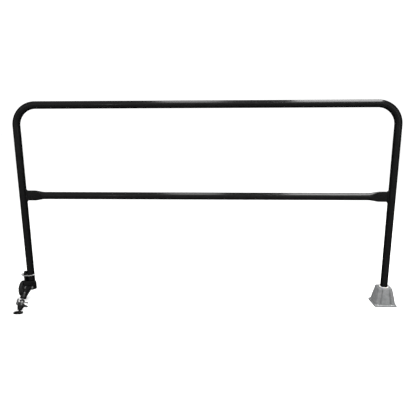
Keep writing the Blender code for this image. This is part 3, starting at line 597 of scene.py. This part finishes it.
def hoop():
    """Leg, bend, top rail, bend and leg, bent from one tube."""
    left_end = min(vert.co.z for vert in frame["nodes"]["hoop_tube"].data.vertices
                   if vert.co.x < LEG_X + TUBE_R)
    bend_z = RAIL_Z - BEND_RADIUS
    steps = 28
    stations = [((0.0, HOOP_LOW.z), 0.0)]
    for bend_x, start in ((-BEND_RADIUS, 0.0), (LEG_X + BEND_RADIUS, 90.0)):
        for i, spot in enumerate(arc((bend_x, bend_z), BEND_RADIUS, start, start + 90.0, steps)):
            stations.append((spot, radians(start + 90.0 * i / steps)))
    stations.append(((LEG_X, left_end), pi))

    def rings(radius):
        made = []
        for (x, z), angle in stations:
            outward = Vector((cos(angle), 0.0, sin(angle)))
            made.append([Vector((x, 0.0, z)) + outward * u + BACKWARD * v
                         for u, v in circle(radius, ROUND)])
        return made

    tube = skinned("hoop", rings(TUBE_R) + rings(TUBE_R - TUBE_WALL)[::-1], wrap=True)
    cross_drill(tube, PIN_AXIS_POINT, OUTWARD * 0.03, PIN_R + RUNNING)
    stands_for(tube, "hoop_tube")


FLAT_HALF = 0.00475  # half thickness of the mid rail's pressed ends
FLAT_LENGTH = 0.06
FLAT_BLEND = 0.06


def pressed_section(flat, inset, sides):
    """Section (y, z) of a tube pressed between jaws; its outer length round stays the same."""
    half_y = TUBE_R + (FLAT_HALF - TUBE_R) * flat
    straight = pi * (TUBE_R - half_y) / 2
    points = []
    for i in range(sides):
        angle = tau * (i + 0.5) / sides
        side = straight if sin(angle) > 0 else -straight
        points.append(((half_y - inset) * cos(angle), side + (half_y - inset) * sin(angle)))
    return points


def flatness(distance):
    """How far the mid rail is pressed flat, 1 at its end and 0 where it is round."""
    t = min(max((distance - FLAT_LENGTH) / FLAT_BLEND, 0.0), 1.0)
    return 1.0 - t * t * (3.0 - 2.0 * t)


def mid_rail():
    """Round tube between the legs, its ends pressed flat and coped to the legs."""
    reach = TUBE_R + GAP
    span = -LEG_X
    blend_steps = 24
    near = [0.0, 0.024, FLAT_LENGTH]
    near += [FLAT_LENGTH + FLAT_BLEND * i / blend_steps for i in range(1, blend_steps + 1)]
    offsets = near + [span * (0.2 + 0.2 * i) for i in range(4)]
    offsets += [span - distance for distance in reversed(near)]

    def rings(inset):
        made = []
        for offset in offsets:
            from_end = min(offset, span - offset)
            points = []
            for y, z in pressed_section(flatness(from_end), inset, ROUND):
                x = offset
                if from_end == 0.0:
                    cope = sqrt(reach ** 2 - y ** 2)
                    x = cope if offset == 0.0 else span - cope
                points.append((LEG_X + x, y, MID_Z + z))
            made.append(points)
        return made

    stands_for(skinned("mid_rail_tube", rings(0.0) + rings(TUBE_WALL)[::-1], wrap=True), "mid_rail")


def mid_rail_welds():
    """Fillets round the mid rail's ends, where they meet the legs."""
    bead_r = 0.003
    stand_off = 0.0019
    steps = 144
    straight = pi * (TUBE_R - FLAT_HALF) / 2
    for side, leg_x, towards in (("left", LEG_X, 1.0), ("right", 0.0, -1.0)):
        route = []
        for i in range(steps + 1):
            angle = tau * i / steps
            lift = straight * max(-1.0, min(1.0, 2.5 * sin(angle)))
            y = (FLAT_HALF + stand_off) * cos(angle)
            z = MID_Z + lift + (FLAT_HALF + stand_off) * sin(angle)
            x = sqrt((TUBE_R + stand_off) ** 2 - y ** 2)
            route.append(Vector((leg_x + towards * x, y, z)))
        bead = weld(f"mid_rail_fillet_{side}", route, bead_r, closed=True)
        stands_for(bead, f"mid_rail_weld_{side}")


def leg_plug():
    low, high, _, outer = measured("leg_plug", LEG, UP)
    turned_for("leg_plug", "leg_end_plug", rod(outer, low, high), LEG, UP, 0.0012)


# ---- deck base

BASE_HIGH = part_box("base_casting")[1]
BASE_HALF = BASE_HIGH.x
BASE_RATIO = BASE_HIGH.y / BASE_HIGH.x
BASE_TOP = BASE_HIGH.z
BASE_FLANGE = 0.008
BASE_FOOT_HALF = 0.0572
BASE_TOP_HALF = 0.0357
BASE_HOLE_AT = 0.0518
BASE_HOLE_R = 0.0028
BUSH_WALL = 0.0032
SET_SCREW = UP * (sum(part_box("pivot_set_screw"), Vector()).z / 2)


def relief(share, strength):
    """Flat boss down the middle of each face, a groove each side of it and then a low rib."""
    boss = 1.0 / (1.0 + exp((share - 0.42) / 0.022))
    groove = exp(-((share - 0.5) / 0.048) ** 2)
    rib = exp(-((share - 0.7) / 0.085) ** 2)
    return strength * (0.0028 * boss - 0.006 * groove + 0.002 * rib)


def ribbed_square(half, corner, height, strength=0.0):
    """Rounded square ring, its faces pushed out and in by their relief."""
    per_side = 40
    per_corner = 10
    points = []
    for face in range(4):
        turn = radians(90.0 * face)
        local = []
        for i in range(per_side):
            across = (half - corner) * (2.0 * (i + 0.5) / per_side - 1.0)
            local.append((half + relief(abs(across / half), strength), across))
        for i in range(per_corner):
            angle = pi / 2 * (i + 0.5) / per_corner
            local.append((half - corner + corner * cos(angle),
                          half - corner + corner * sin(angle)))
        for x, y in local:
            points.append(Vector((x * cos(turn) - y * sin(turn),
                                  (x * sin(turn) + y * cos(turn)) * BASE_RATIO, height)))
    return points


def base_casting():
    """Square flange, ribbed pyramid and a blind socket, with cast fillets."""
    bush_low, _, bush_inner, _ = measured("pivot_bush", Vector(), UP)
    bore = bush_inner + BUSH_WALL + GAP
    socket_floor = bush_low - GAP
    corner = 0.008
    foot_edge = 0.0008
    levels = [(BASE_HALF - foot_edge, corner, 0.0)]
    lip = 0.0022
    flange = arc((BASE_HALF - foot_edge, foot_edge), foot_edge, -60, 0, 2)
    flange += arc((BASE_HALF - lip, BASE_FLANGE - lip), lip, 0, 90, 6)
    levels += [(x, corner, z) for x, z in flange]
    fillet = 0.0055
    top_of_fillet = BASE_FLANGE + fillet
    foot = BASE_FOOT_HALF - 0.0045
    foot_corner = 0.016
    for x, z in reversed(arc((foot + fillet, top_of_fillet), fillet, 180, 270, 8)):
        share = (z - BASE_FLANGE) / fillet
        levels.append((min(x, BASE_HALF - lip - 0.0004), foot_corner, z, share * 0.8))
    crown = 0.003
    top_corner = 0.009
    shoulder = BASE_TOP - crown
    slope_steps = 14
    for i in range(1, slope_steps + 1):
        share = i / slope_steps
        levels.append((foot + (BASE_TOP_HALF - foot) * share,
                       foot_corner + (top_corner - foot_corner) * share,
                       top_of_fillet + (shoulder - top_of_fillet) * share,
                       0.8 + 0.2 * sin(share * pi) - 0.45 * share ** 3))
    for x, z in arc((BASE_TOP_HALF - crown, shoulder), crown, 15, 90, 6):
        levels.append((x, top_corner, z, 0.3 * (BASE_TOP - z) / crown))
    rings = [ribbed_square(*level) for level in levels]
    rim = ribbed_square(BASE_TOP_HALF - crown - 0.001, corner, BASE_TOP)
    for height in (BASE_TOP, socket_floor):
        rings.append([Vector((p.x, p.y, 0.0)).normalized() * bore + UP * height for p in rim])
    casting = skinned("base_cast", rings, angle=50.0)
    for x in (-BASE_HOLE_AT, BASE_HOLE_AT):
        for y in (-BASE_HOLE_AT * BASE_RATIO, BASE_HOLE_AT * BASE_RATIO):
            spot = Vector((x, y, 0.0))
            drill(casting, spot - UP * 0.002, spot + UP * (BASE_FLANGE + 0.02), BASE_HOLE_R)
            seat = [(0.0, 0.0), (BASE_HOLE_R, 0.0), (BASE_HOLE_R * 2.0, 0.0026),
                    (BASE_HOLE_R * 2.0, 0.02), (0.0, 0.02)]
            cut(casting, turned("seat", seat, spot + UP * (BASE_FLANGE - 0.0024), UP, SMALL))
    screw_r = measured("pivot_set_screw", SET_SCREW, BACKWARD)[3]
    drill(casting, SET_SCREW + BACKWARD * (bore - 0.003), SET_SCREW + BACKWARD * BASE_HALF, screw_r + GAP)
    stands_for(casting, "base_casting")


def bush_parts():
    """Flanged nylon sleeve and the thrust disc below the leg."""
    low, high, inner, rim_r = measured("pivot_bush", Vector(), UP)
    outer = inner + BUSH_WALL
    shoulder = BASE_TOP + GAP
    profile = [(inner, low), (outer, low), (outer, shoulder), (rim_r, shoulder),
               (rim_r, high - 0.0006), (rim_r - 0.0028, high), (inner, high)]
    turned_for("pivot_bush", "bush_sleeve", profile, Vector(), UP, 0.0008)
    low, high, _, outer = measured("thrust_disc", Vector(), UP)
    turned_for("thrust_disc", "bush_disc", rod(outer, low, high), Vector(), UP, 0.0006)


def set_screw():
    """Socket set screw that locks the bush."""
    low, high, _, outer = measured("pivot_set_screw", SET_SCREW, BACKWARD)
    screw = threaded_rod("bush_screw", SET_SCREW, BACKWARD, outer, 0.00125, low, high,
                         low + 0.001, high - 0.0008)
    cut(screw, hex_prism("socket", SET_SCREW, BACKWARD, 0.0022, high - 0.0045, high + 0.001))
    stands_for(screw, "pivot_set_screw")


# ---- bracket, wheel and pin

LUG_LOW, LUG_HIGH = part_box("wheel_lug")
PLATE_LOW, PLATE_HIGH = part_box("front_plate")
YOKE_LOW, YOKE_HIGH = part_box("stabiliser_yoke")
PIN_R = 0.004
PIVOT_BOLT_R = 0.004
AXLE_R = measured("axle_stud", AXLE, OUTWARD)[3]


def leg_collar():
    """Cup that the left leg stands in, its mouth rolled smooth."""
    low, high, _, outer = measured("leg_collar", LEG, UP)
    inner = TUBE_R + GAP
    floor = low + 0.0035
    profile = [(0.0, low), (outer, low), (outer, high), (inner, high), (inner, floor), (0.0, floor)]
    turned_for("leg_collar", "leg_cup", profile, LEG, UP, 0.0012)


def wheel_lug():
    """Upright bar beside the leg, with the pin's and the axle's holes."""
    half = LUG_HIGH.y
    outline = arc((0.0, LUG_HIGH.z - half), half, 0, 180, 32)
    outline += arc((0.0, LUG_LOW.z + half), half, 180, 360, 32)
    lug = slab("leg_lug", outline, LUG_LOW.x, LUG_HIGH.x, ALONG_X)
    eased(lug, 0.001, 3)
    reach = OUTWARD * 0.05
    drill(lug, PIN_AXIS_POINT, PIN_AXIS_POINT + reach, PIN_R + RUNNING)
    drill(lug, AXLE + OUTWARD * 0.01, AXLE + reach, AXLE_R + GAP)
    stands_for(lug, "wheel_lug")


def front_plate():
    """Flat plate across the collar's front."""
    corner = 0.003
    left = PLATE_LOW.x + corner
    right = PLATE_HIGH.x - corner
    low = PLATE_LOW.z + corner
    high = PLATE_HIGH.z - corner
    outline = []
    for centre, start in (((left, low), 180), ((right, low), 270), ((right, high), 0), ((left, high), 90)):
        outline += arc(centre, corner, start, start + 90, 6)
    plate = slab("bracket_plate", outline, PLATE_LOW.y, PLATE_HIGH.y, ALONG_Y)
    stands_for(eased(plate, 0.0009, 3), "front_plate")


def stabiliser_yoke():
    """Channel bent round the arm's end; its cheeks taper to round tips at the pivot."""
    back = YOKE_HIGH.y
    tip_r = YOKE_HIGH.z - ARM_PIVOT.z
    spare = 0.005
    depth = back - YOKE_LOW.y + spare
    outer = 0.008  # radius of the folds, outside and inside
    inner = 0.004
    middle = ARM_PIVOT.x
    half = YOKE_HIGH.x - middle
    channel = [(middle - half, depth)]
    channel += arc((middle - half + outer, outer), outer, 180, 270, 12)
    channel += arc((middle + half - outer, outer), outer, 270, 360, 12)
    channel += [(middle + half, depth), (middle + half - outer + inner, depth)]
    channel += arc((middle + half - outer, outer), inner, 360, 270, 12)
    channel += arc((middle - half + outer, outer), inner, 270, 180, 12)
    channel += [(middle - half + outer - inner, depth)]
    forwards = placed(BACKWARD * back, RIGHT, -BACKWARD, UP)
    yoke = slab("arm_yoke", channel, YOKE_LOW.z - spare, YOKE_HIGH.z + spare, forwards)
    cheek = arc((ARM_PIVOT.y, ARM_PIVOT.z), tip_r, 90, 256, 32)
    cheek += [(back + spare, YOKE_LOW.z), (back + spare, YOKE_HIGH.z)]
    cut(yoke, slab("cheek", cheek, middle - half - spare, middle + half + spare, ALONG_X), "INTERSECT")
    eased(yoke, 0.0007, 2)
    cross_drill(yoke, ARM_PIVOT, OUTWARD * 0.02, PIVOT_BOLT_R + GAP)
    stands_for(yoke, "stabiliser_yoke")


def bracket_welds():
    """Fillet welds that hold the collar, lug, plate and yoke together."""
    low, high, _, outer = measured("leg_collar", LEG, UP)
    beads = []
    plate_seam = 0.0068  # sideways from the leg's axis
    plate_y = -sqrt(outer ** 2 - plate_seam ** 2) - 0.0003
    for name, side in (("left", -1.0), ("right", 1.0)):
        yoke_x = ARM_PIVOT.x + side * (YOKE_HIGH.x - ARM_PIVOT.x - 0.0022)
        beads += [
            (f"plate_weld_{name}", LEG_X + side * plate_seam, plate_y,
             PLATE_LOW.z + 0.004, high - 0.002, 0.0018),
            (f"lug_weld_{name}", LUG_HIGH.x + 0.0004, side * 0.007, low + 0.004, high - 0.003, 0.0018),
            (f"yoke_weld_{name}", yoke_x, PLATE_LOW.y - 0.0012,
             YOKE_LOW.z + 0.003, YOKE_HIGH.z - 0.002, 0.0022),
        ]
    for name, x, y, start, end, radius in beads:
        bead = weld(name, [Vector((x, y, start)), Vector((x, y, end))], radius)
        dress(bead, "bracket_coat", "rail")


def wheel_tyre():
    """Rubber tyre with three grooves round its tread."""
    near, far, rim, outer = measured("wheel_tyre", AXLE, OUTWARD)
    middle = (near + far) / 2
    round_r = 0.0035
    wall_in = near + 0.0006  # the side walls stand in a little
    groove_r = outer - 0.0009
    side = [(rim, near), (rim + 0.0015, near), (rim + 0.0022, wall_in),
            (outer - round_r - 0.0012, wall_in), (outer - round_r - 0.0004, near)]
    side += arc((outer - round_r, near + round_r), round_r, 270, 345, 5)
    tread = list(side)
    for centre in (middle - 0.004, middle, middle + 0.004):
        tread += [(outer, centre - 0.0008), (groove_r, centre - 0.0005),
                  (groove_r, centre + 0.0005), (outer, centre + 0.0008)]
    tread += mirrored(side, middle)
    stands_for(turned("tyre", tread, AXLE, OUTWARD, 128), "wheel_tyre")


def wheel_hub():
    """Hub with a web, ribs each side of it and a plain bush."""
    middle = sum(measured("wheel_tyre", AXLE, OUTWARD)[:2]) / 2
    near, far, inner, outer = measured("wheel_hub", AXLE, OUTWARD)
    web = 0.003
    boss_r = 0.014
    wall = 0.0045
    profile = [(inner, near), (boss_r, near), (boss_r, middle - web), (outer - wall, middle - web),
               (outer - wall, near + 0.001), (outer, near + 0.001), (outer, far - 0.001),
               (outer - wall, far - 0.001), (outer - wall, middle + web), (boss_r, middle + web),
               (boss_r, far), (inner, far)]
    hub = turned("hub", softened(profile, 0.0007, 3), AXLE, OUTWARD)
    for y, z in circle(1.0, 6):
        out = Vector((0.0, y, z))
        place = placed(AXLE, out, OUTWARD, OUTWARD.cross(out))
        outline = [(boss_r - 0.002, near + 0.0012), (outer - wall + 0.001, near + 0.003),
                   (outer - wall + 0.001, far - 0.003), (boss_r - 0.002, far - 0.0012)]
        cut(hub, slab("rib", outline, -0.0012, 0.0012, place), "UNION")
    stands_for(eased(hub, 0.0003, 2, 45.0), "wheel_hub")
    ring_for("wheel_bush", "axle_bush", AXLE, OUTWARD, 0.0004)


def axle_parts():
    """Stud with a threaded end, spacer, washer and nylon-topped lock nut."""
    low, high, _, radius = measured("axle_stud", AXLE, OUTWARD)
    nut_low = measured("axle_nut", AXLE, OUTWARD)[0]
    stud = threaded_rod("axle", AXLE, OUTWARD, radius, 0.0015, low, high,
                        nut_low - 0.001, high - 0.0008)
    stands_for(stud, "axle_stud")
    for node, name in (("axle_spacer", "axle_shim"), ("axle_washer", "axle_flat_washer")):
        ring_for(node, name, AXLE, OUTWARD, 0.0004)
    lock_nut("axle_nut", "axle_lock_nut", AXLE, OUTWARD, radius + GAP)


def lock_nut(node, name, origin, axis, bore):
    """Hexagonal lock nut with a rolled round collar over its insert."""
    low, high, _, corner_r = measured(node, origin, axis)
    body = low + (high - low) * 0.74
    nut = hex_block(name, origin, axis, corner_r, low, body)
    collar_r = corner_r * 0.8
    collar = softened([(0.0, body - 0.001), (collar_r, body - 0.001), (collar_r, high - 0.0004),
                       (collar_r - 0.0012, high), (0.0, high)], 0.0004)
    cut(nut, turned(name + "_collar", collar, origin, axis, SMALL), "UNION")
    drill(nut, origin + axis * (low - 0.002), origin + axis * (high + 0.002), bore)
    stands_for(nut, node)


def lock_pin():
    """Snap pin with a grooved head."""
    low, high, _, head_r = measured("lock_pin", PIN_AXIS_POINT, OUTWARD)
    head_at = LUG_LOW.x * -1.0 + LEG_X + 0.0005
    groove = high - 0.0042
    profile = [(0.0, low), (PIN_R - 0.0012, low), (PIN_R, low + 0.0018), (PIN_R, head_at),
               (head_r, head_at), (head_r, groove - 0.0008), (head_r - 0.0009, groove),
               (head_r, groove + 0.0008), (head_r, high - 0.001), (head_r - 0.0022, high),
               (0.0, high)]
    pin = turned("snap_pin", softened(profile, 0.0006), PIN_AXIS_POINT, OUTWARD, SMALL)
    cross_drill(pin, BAIL_PIVOT, UP * 0.012, BAIL_WIRE_R + RUNNING, 24)
    stands_for(pin, "lock_pin", "pin_steel")


BAIL_WIRE_R = 0.002
BAIL_STUB = 0.0083  # wire above and below the pin's axis
BAIL_FRONT = 0.0236  # wire in front of the leg


def pin_bail():
    """Spring wire that hangs in the pin's head and snaps round the front, past the tip."""
    route = [BAIL_PIVOT + Vector(point) for point in (
        (0.0, 0.0, BAIL_STUB), (0.0, 0.0, 0.0), (0.0, 0.0, 0.002 - BAIL_STUB),
        (0.0005, -0.004, -BAIL_STUB), (0.003, -0.011, -0.006), (0.009, -0.018, -0.0025),
        (0.019, 0.0022 - BAIL_FRONT, 0.001), (0.0385, -BAIL_FRONT, 0.002),
        (0.0545, -BAIL_FRONT, 0.003), (0.0655, -0.019, 0.0045), (0.0718, -0.01, 0.005),
        (0.0722, -0.002, 0.005),
    )]
    wire = sweep("snap_wire", smooth_route(route, 10), lambda share: BAIL_WIRE_R, 20)
    stands_for(wire, "pin_bail", "pin_steel")


# ---- stabiliser and jack

PIVOT = (ARM_PIVOT, OUTWARD)
SPINDLE_R = 0.006
BALL_R = 0.0055
BALL_NECK_R = 0.0034
BAR_R = 0.0026
BAR_MIDDLE = sum(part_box("tommy_bar"), Vector()) / 2
BAR_CENTRE = JACK_TOP + JACK_DOWN * (BAR_MIDDLE - JACK_TOP).dot(JACK_DOWN)


def stabiliser_arm():
    """Bar from the pivot to a round boss that the spindle turns in."""
    half_height = 0.008
    half_width = 0.0112
    boss = softened(rod(0.0155, -0.01, 0.0095), 0.0014)
    run = JACK_TOP - ARM_PIVOT
    slope = degrees(atan2(run.z, run.y))
    outline = arc((ARM_PIVOT.y, ARM_PIVOT.z), half_height, slope + 90, slope - 90, 24)
    outline += arc((JACK_TOP.y, JACK_TOP.z), half_height, slope - 90, slope - 270, 24)
    arm = slab("swing_arm", outline, ARM_PIVOT.x - half_width, ARM_PIVOT.x + half_width, ALONG_X)
    eased(arm, 0.0012, 3)
    cut(arm, turned("boss", boss, *JACK), "UNION")
    cross_drill(arm, ARM_PIVOT, OUTWARD * 0.02, PIVOT_BOLT_R + RUNNING)
    drill(arm, JACK_TOP - JACK_DOWN * 0.04, JACK_TOP + JACK_DOWN * 0.03, SPINDLE_R + RUNNING)
    stands_for(arm, "stabiliser_arm")


def pivot_bolt():
    """Button-head bolt with two washers and a lock nut."""
    low, high, _, head_r = measured("arm_pivot_bolt", *PIVOT)
    head = low + 0.0024
    bolt = threaded_rod("pivot_bolt", *PIVOT, PIVOT_BOLT_R, 0.00125, head - 0.001, high,
                        high - 0.012, high - 0.0006)
    dome = [(0.0, low), (head_r * 0.55, low), (head_r * 0.86, low + 0.0007), (head_r, head - 0.0005),
            (head_r, head), (0.0, head)]
    cut(bolt, turned("head", softened(dome, 0.0008), *PIVOT, SMALL), "UNION")
    cut(bolt, hex_prism("socket", *PIVOT, 0.0026, low - 0.001, low + 0.0014))
    stands_for(bolt, "arm_pivot_bolt")
    for side in ("left", "right"):
        ring_for("arm_pivot_washer_" + side, "pivot_washer_" + side, *PIVOT, 0.0004)
    lock_nut("arm_pivot_nut", "pivot_lock_nut", *PIVOT, PIVOT_BOLT_R + GAP)


def jack_spindle():
    """Screwed rod with a plain end that turns in the thrust cone."""
    low, high, _, crest = measured("jack_spindle", *JACK)
    collar_at = measured("jack_collar", *JACK)[0]
    spindle = threaded_rod("jack_screw_rod", *JACK, crest, 0.00175, low, high,
                           low + 0.001, collar_at - 0.0002)
    cross_drill(spindle, BAR_CENTRE, BAR_AXIS * 0.02, BAR_R + RUNNING)
    stands_for(spindle, "jack_spindle")


def screw_head():
    """Collar and grooved head pinned on the spindle."""
    ring_for("jack_collar", "screw_collar", *JACK, 0.0009, ROUND)
    low, high, inner, outer = measured("screw_head", *JACK)
    profile = [(inner, low), (outer - 0.001, low), (outer, low + 0.001)]
    for groove in (low + 0.003, high - 0.003):
        profile += [(outer, groove - 0.0006), (outer - 0.0006, groove), (outer, groove + 0.0006)]
    profile += [(outer, high - 0.001), (outer - 0.001, high), (inner, high)]
    head = turned("screw_top", softened(profile, 0.0004, 3), *JACK)
    cross_drill(head, BAR_CENTRE, BAR_AXIS * 0.02, BAR_R + RUNNING)
    stands_for(head, "screw_head")


def tommy_bar():
    """Bar through the head, its ends swelled into beads."""
    low, high, _, bead_r = measured("tommy_bar", BAR_CENTRE, BAR_AXIS)
    half = (high - low) / 2
    end = [(0.0, -half)] + arc((0.0, bead_r - half), bead_r, -90, 50, 14)[1:]
    end.append((BAR_R, end[-1][1]))
    profile = end + mirrored(end, 0.0)
    middle = BAR_CENTRE + BAR_AXIS * ((low + high) / 2)
    stands_for(turned("turning_bar", profile, middle, BAR_AXIS, SMALL), "tommy_bar")


def wing_knob():
    """Knob with a short lug and an upright wing, its corners moulded round."""
    high = measured("wing_knob", *JACK)[1]
    face = 0.04
    hub_r = 0.0165
    join = hub_r - 0.004  # inside the hub, for a sound join
    inset = 0.0008
    lug_reach = 0.035
    wing_reach = 0.0265
    rise = 0.019  # of the wing, up over the knob
    tip_r = 0.0045
    half_width = 0.003
    lug_turn = radians(-38.0)
    knob = turned("knob", softened(rod(hub_r, face, high), 0.0018), *JACK)
    root = [(join, high - inset), (hub_r, high - inset)]
    lug = root + arc((lug_reach - tip_r, (face + high) / 2), tip_r, 70, -70, 20)
    lug += [(hub_r, face + inset), (join, face + inset)]
    tip = wing_reach - tip_r
    wing = root + arc((tip, face + tip_r), tip_r, 60, 0, 8)
    wing += arc((tip, face - rise), tip_r, 0, -180, 20)
    wing += [(tip - tip_r, face - inset), (join, face + inset)]
    for outline, turn in ((lug, lug_turn), (wing, lug_turn + pi)):
        out = RIGHT * cos(turn) + JACK_DOWN.cross(RIGHT) * sin(turn)
        place = placed(JACK_TOP, out, JACK_DOWN, JACK_DOWN.cross(out))
        fin = slab("fin", outline, -half_width, half_width, place)
        cut(knob, eased(fin, 0.0014, 3), "UNION")
    drill(knob, JACK_TOP, JACK_TOP + JACK_DOWN * 0.07, SPINDLE_R + GAP)
    moulded(knob, 0.0006)
    stands_for(knob, "wing_knob")


def moulded(made, voxel):
    """Remesh finely and relax, so that inner corners flow like a moulding's."""
    modify(made, "REMESH", mode="VOXEL", voxel_size=voxel)
    modify(made, "CORRECTIVE_SMOOTH", factor=0.5, iterations=6, use_only_smooth=True)
    made.data.shade_smooth()


def jack_cone():
    """Tapered thrust cone that the screw turns in, with the foot's ball on its end."""
    low = measured("jack_cone", *JACK)[0]
    spindle_end = measured("jack_spindle", *JACK)[1]
    ball_at = (FOOT_BALL - JACK_TOP).dot(JACK_DOWN)
    bore = SPINDLE_R + RUNNING
    top_r = 0.016
    end_r = 0.0105
    end = 0.073
    slope = 0.0012
    profile = [(0.0, spindle_end + GAP), (bore, spindle_end + GAP), (bore, low), (top_r - 0.0015, low),
               (top_r, low + slope), (end_r, end), (BALL_NECK_R, end + slope)]
    profile = softened(profile, 0.0006)
    neck = degrees(asin(BALL_NECK_R / BALL_R)) - 90
    profile += arc((0.0, ball_at), BALL_R, neck, 90, 16)[:-1] + [(0.0, ball_at + BALL_R)]
    stands_for(turned("thrust_cone", profile, *JACK), "jack_cone")


def stadium(low, high):
    """Outline that fills a box, a bar with round ends along the rail."""
    half_width = (high.y - low.y) / 2
    middle = (low.y + high.y) / 2
    outline = arc((high.x - half_width, middle), half_width, -90, 90, 32)
    return outline + arc((low.x + half_width, middle), half_width, 90, 270, 32)


def foot_plate():
    """Swivel foot, a round-ended plate with a ball cup."""
    low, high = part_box("foot_plate")
    fillet = 0.0032
    top = low.z + 0.0032
    skirt = 0.012
    plate = slab("foot_bar", stadium(low, high), low.z, top, ALONG_Z)
    eased(plate, 0.001, 3)
    on_floor = Vector((FOOT_BALL.x, FOOT_BALL.y, 0.0))
    ball_z = FOOT_BALL.z
    cup = [(0.0, low.z + 0.001), (skirt, low.z + 0.001), (skirt, top)]
    cup += arc((skirt, top + fillet), fillet, -90, -180, 8)
    cup += [(0.0086, ball_z - 0.001), (0.0076, high.z), (0.0, high.z)]
    cut(plate, turned("cup", softened(cup, 0.0004, 2), on_floor, UP), "UNION")
    socket_r = BALL_R + RUNNING
    socket = [(0.0, ball_z - socket_r)] + arc((0.0, ball_z), socket_r, -90, 0, 16)[1:]
    socket += [(socket_r, ball_z + 0.004), (0.0, ball_z + 0.004)]
    cut(plate, turned("socket", socket, on_floor, UP))
    stands_for(plate, "foot_plate")


def foot_pad():
    """Rubber pad under the foot."""
    low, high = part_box("foot_pad")
    pad = slab("foot_rubber", stadium(low, high), low.z, high.z, ALONG_Z)
    stands_for(eased(pad, 0.0006, 3), "foot_pad")


# ---- floor, light and camera

def pale_floor():
    shade = 0.97
    look = Look("pale_floor", grey(shade), 0.0, 0.9)
    return look.colour(look.noise(6.0, 3.0), grey(shade * 0.985), grey(shade)).material


def floor():
    """Pale floor that the handrail stands on."""
    bm = bmesh.new()
    bmesh.ops.create_grid(bm, x_segments=4, y_segments=4, size=30.0)
    bmesh.ops.translate(bm, verts=bm.verts, vec=(LEG_X / 2, 0.0, -0.0002))
    plane = finish("floor", bm)
    plane.data.materials.append(pale_floor())
    plane.visible_glossy = False


def soft_light(name, place, target, size, watts):
    light = bpy.data.lights.new(name, "AREA")
    light.shape = "RECTANGLE"
    light.size, light.size_y = size
    light.energy = watts
    lamp = linked(name, light)
    lamp.location = place
    lamp.rotation_euler = (Vector(target) - Vector(place)).to_track_quat("-Z", "Y").to_euler()


def world_strength(tree):
    """What the coat and metal see: dark behind, paler in front and above, dim below."""
    way = add_node(tree, "TexCoord", {})["Generated"]
    split = add_node(tree, "SeparateXYZ", {0: way})

    def mapped(axis, *ranges):
        return map_range(tree, split[axis], ranges, "SMOOTHSTEP")

    def joined(operation, first, second):
        return add_node(tree, "Math", {0: first, 1: second}, operation=operation)[0]

    in_front = mapped("Y", -0.85, 0.05, 1.0, 0.0)
    height = mapped("Z", -0.25, 0.3, 0.24, 0.58)
    above = mapped("Z", 0.55, 1.0, 0.0, 0.45)
    return joined("MAXIMUM", joined("MULTIPLY", in_front, height), above)


def studio():
    """White surround, a dimmer one for reflections, and the soft boxes that streak the tubes."""
    world = bpy.data.worlds.new("studio")
    world.use_nodes = True
    tree = world.node_tree
    white = (1.0, 1.0, 1.0, 1.0)
    dim = tree.nodes["Background"]
    feed(tree, dim.inputs["Color"], white)
    feed(tree, dim.inputs["Strength"], world_strength(tree))
    bright = add_node(tree, "Background", {"Color": white, "Strength": 1.12})[0]
    glossy = add_node(tree, "LightPath", {})["Is Glossy Ray"]
    mix = add_node(tree, "MixShader", {0: glossy, 1: bright, 2: dim.outputs[0]})[0]
    feed(tree, tree.nodes["World Output"].inputs["Surface"], mix)
    bpy.context.scene.world = world
    soft_light("ceiling_left", (-1.21, -0.3, 3.1), (-1.21, -0.3, 0.0), (0.62, 3.4), 35)
    soft_light("ceiling_right", (0.4, -0.3, 3.1), (0.4, -0.3, 0.0), (1.1, 3.4), 125)
    soft_light("streak_left", (-2.0, -2.1, 1.15), (-1.4, 0.0, 0.9), (0.1, 0.24), 0.5)
    soft_light("streak_right", (0.75, -2.1, 0.9), (-0.1, 0.0, 0.6), (0.06, 0.2), 0.3)


CAMERA_PLACE = Vector((-0.8614, -2.1338, 0.9792))
CAMERA_YAW = radians(-2.276)  # from +Y towards +X
CAMERA_PITCH = radians(12.079)  # downwards
CAMERA_ROLL = radians(-0.204)
CAMERA_LENS = 35.91  # mm, on a 36 mm sensor


def camera():
    forward = Vector((sin(CAMERA_YAW) * cos(CAMERA_PITCH),
                      cos(CAMERA_YAW) * cos(CAMERA_PITCH), -sin(CAMERA_PITCH)))
    level = Vector((cos(CAMERA_YAW), -sin(CAMERA_YAW), 0.0))
    upright = level.cross(forward)
    right = level * cos(CAMERA_ROLL) + upright * sin(CAMERA_ROLL)
    up = upright * cos(CAMERA_ROLL) - level * sin(CAMERA_ROLL)
    data = bpy.data.cameras.new("camera")
    data.sensor_width = 36.0
    data.lens = CAMERA_LENS
    made = linked("camera", data)
    pose = Matrix((right, up, -forward)).transposed().to_4x4()
    pose.translation = CAMERA_PLACE
    made.matrix_world = pose
    bpy.context.scene.camera = made


# ---- build

for make in (camera, studio, floor, hoop, mid_rail, mid_rail_welds, leg_plug, base_casting,
             bush_parts, set_screw, leg_collar, wheel_lug, front_plate, stabiliser_yoke,
             bracket_welds, wheel_tyre, wheel_hub, axle_parts, lock_pin, pin_bail,
             stabiliser_arm, pivot_bolt, jack_spindle, screw_head, tommy_bar, wing_knob,
             jack_cone, foot_plate, foot_pad):
    make()
bpy.context.scene.view_settings.view_transform = "Standard"
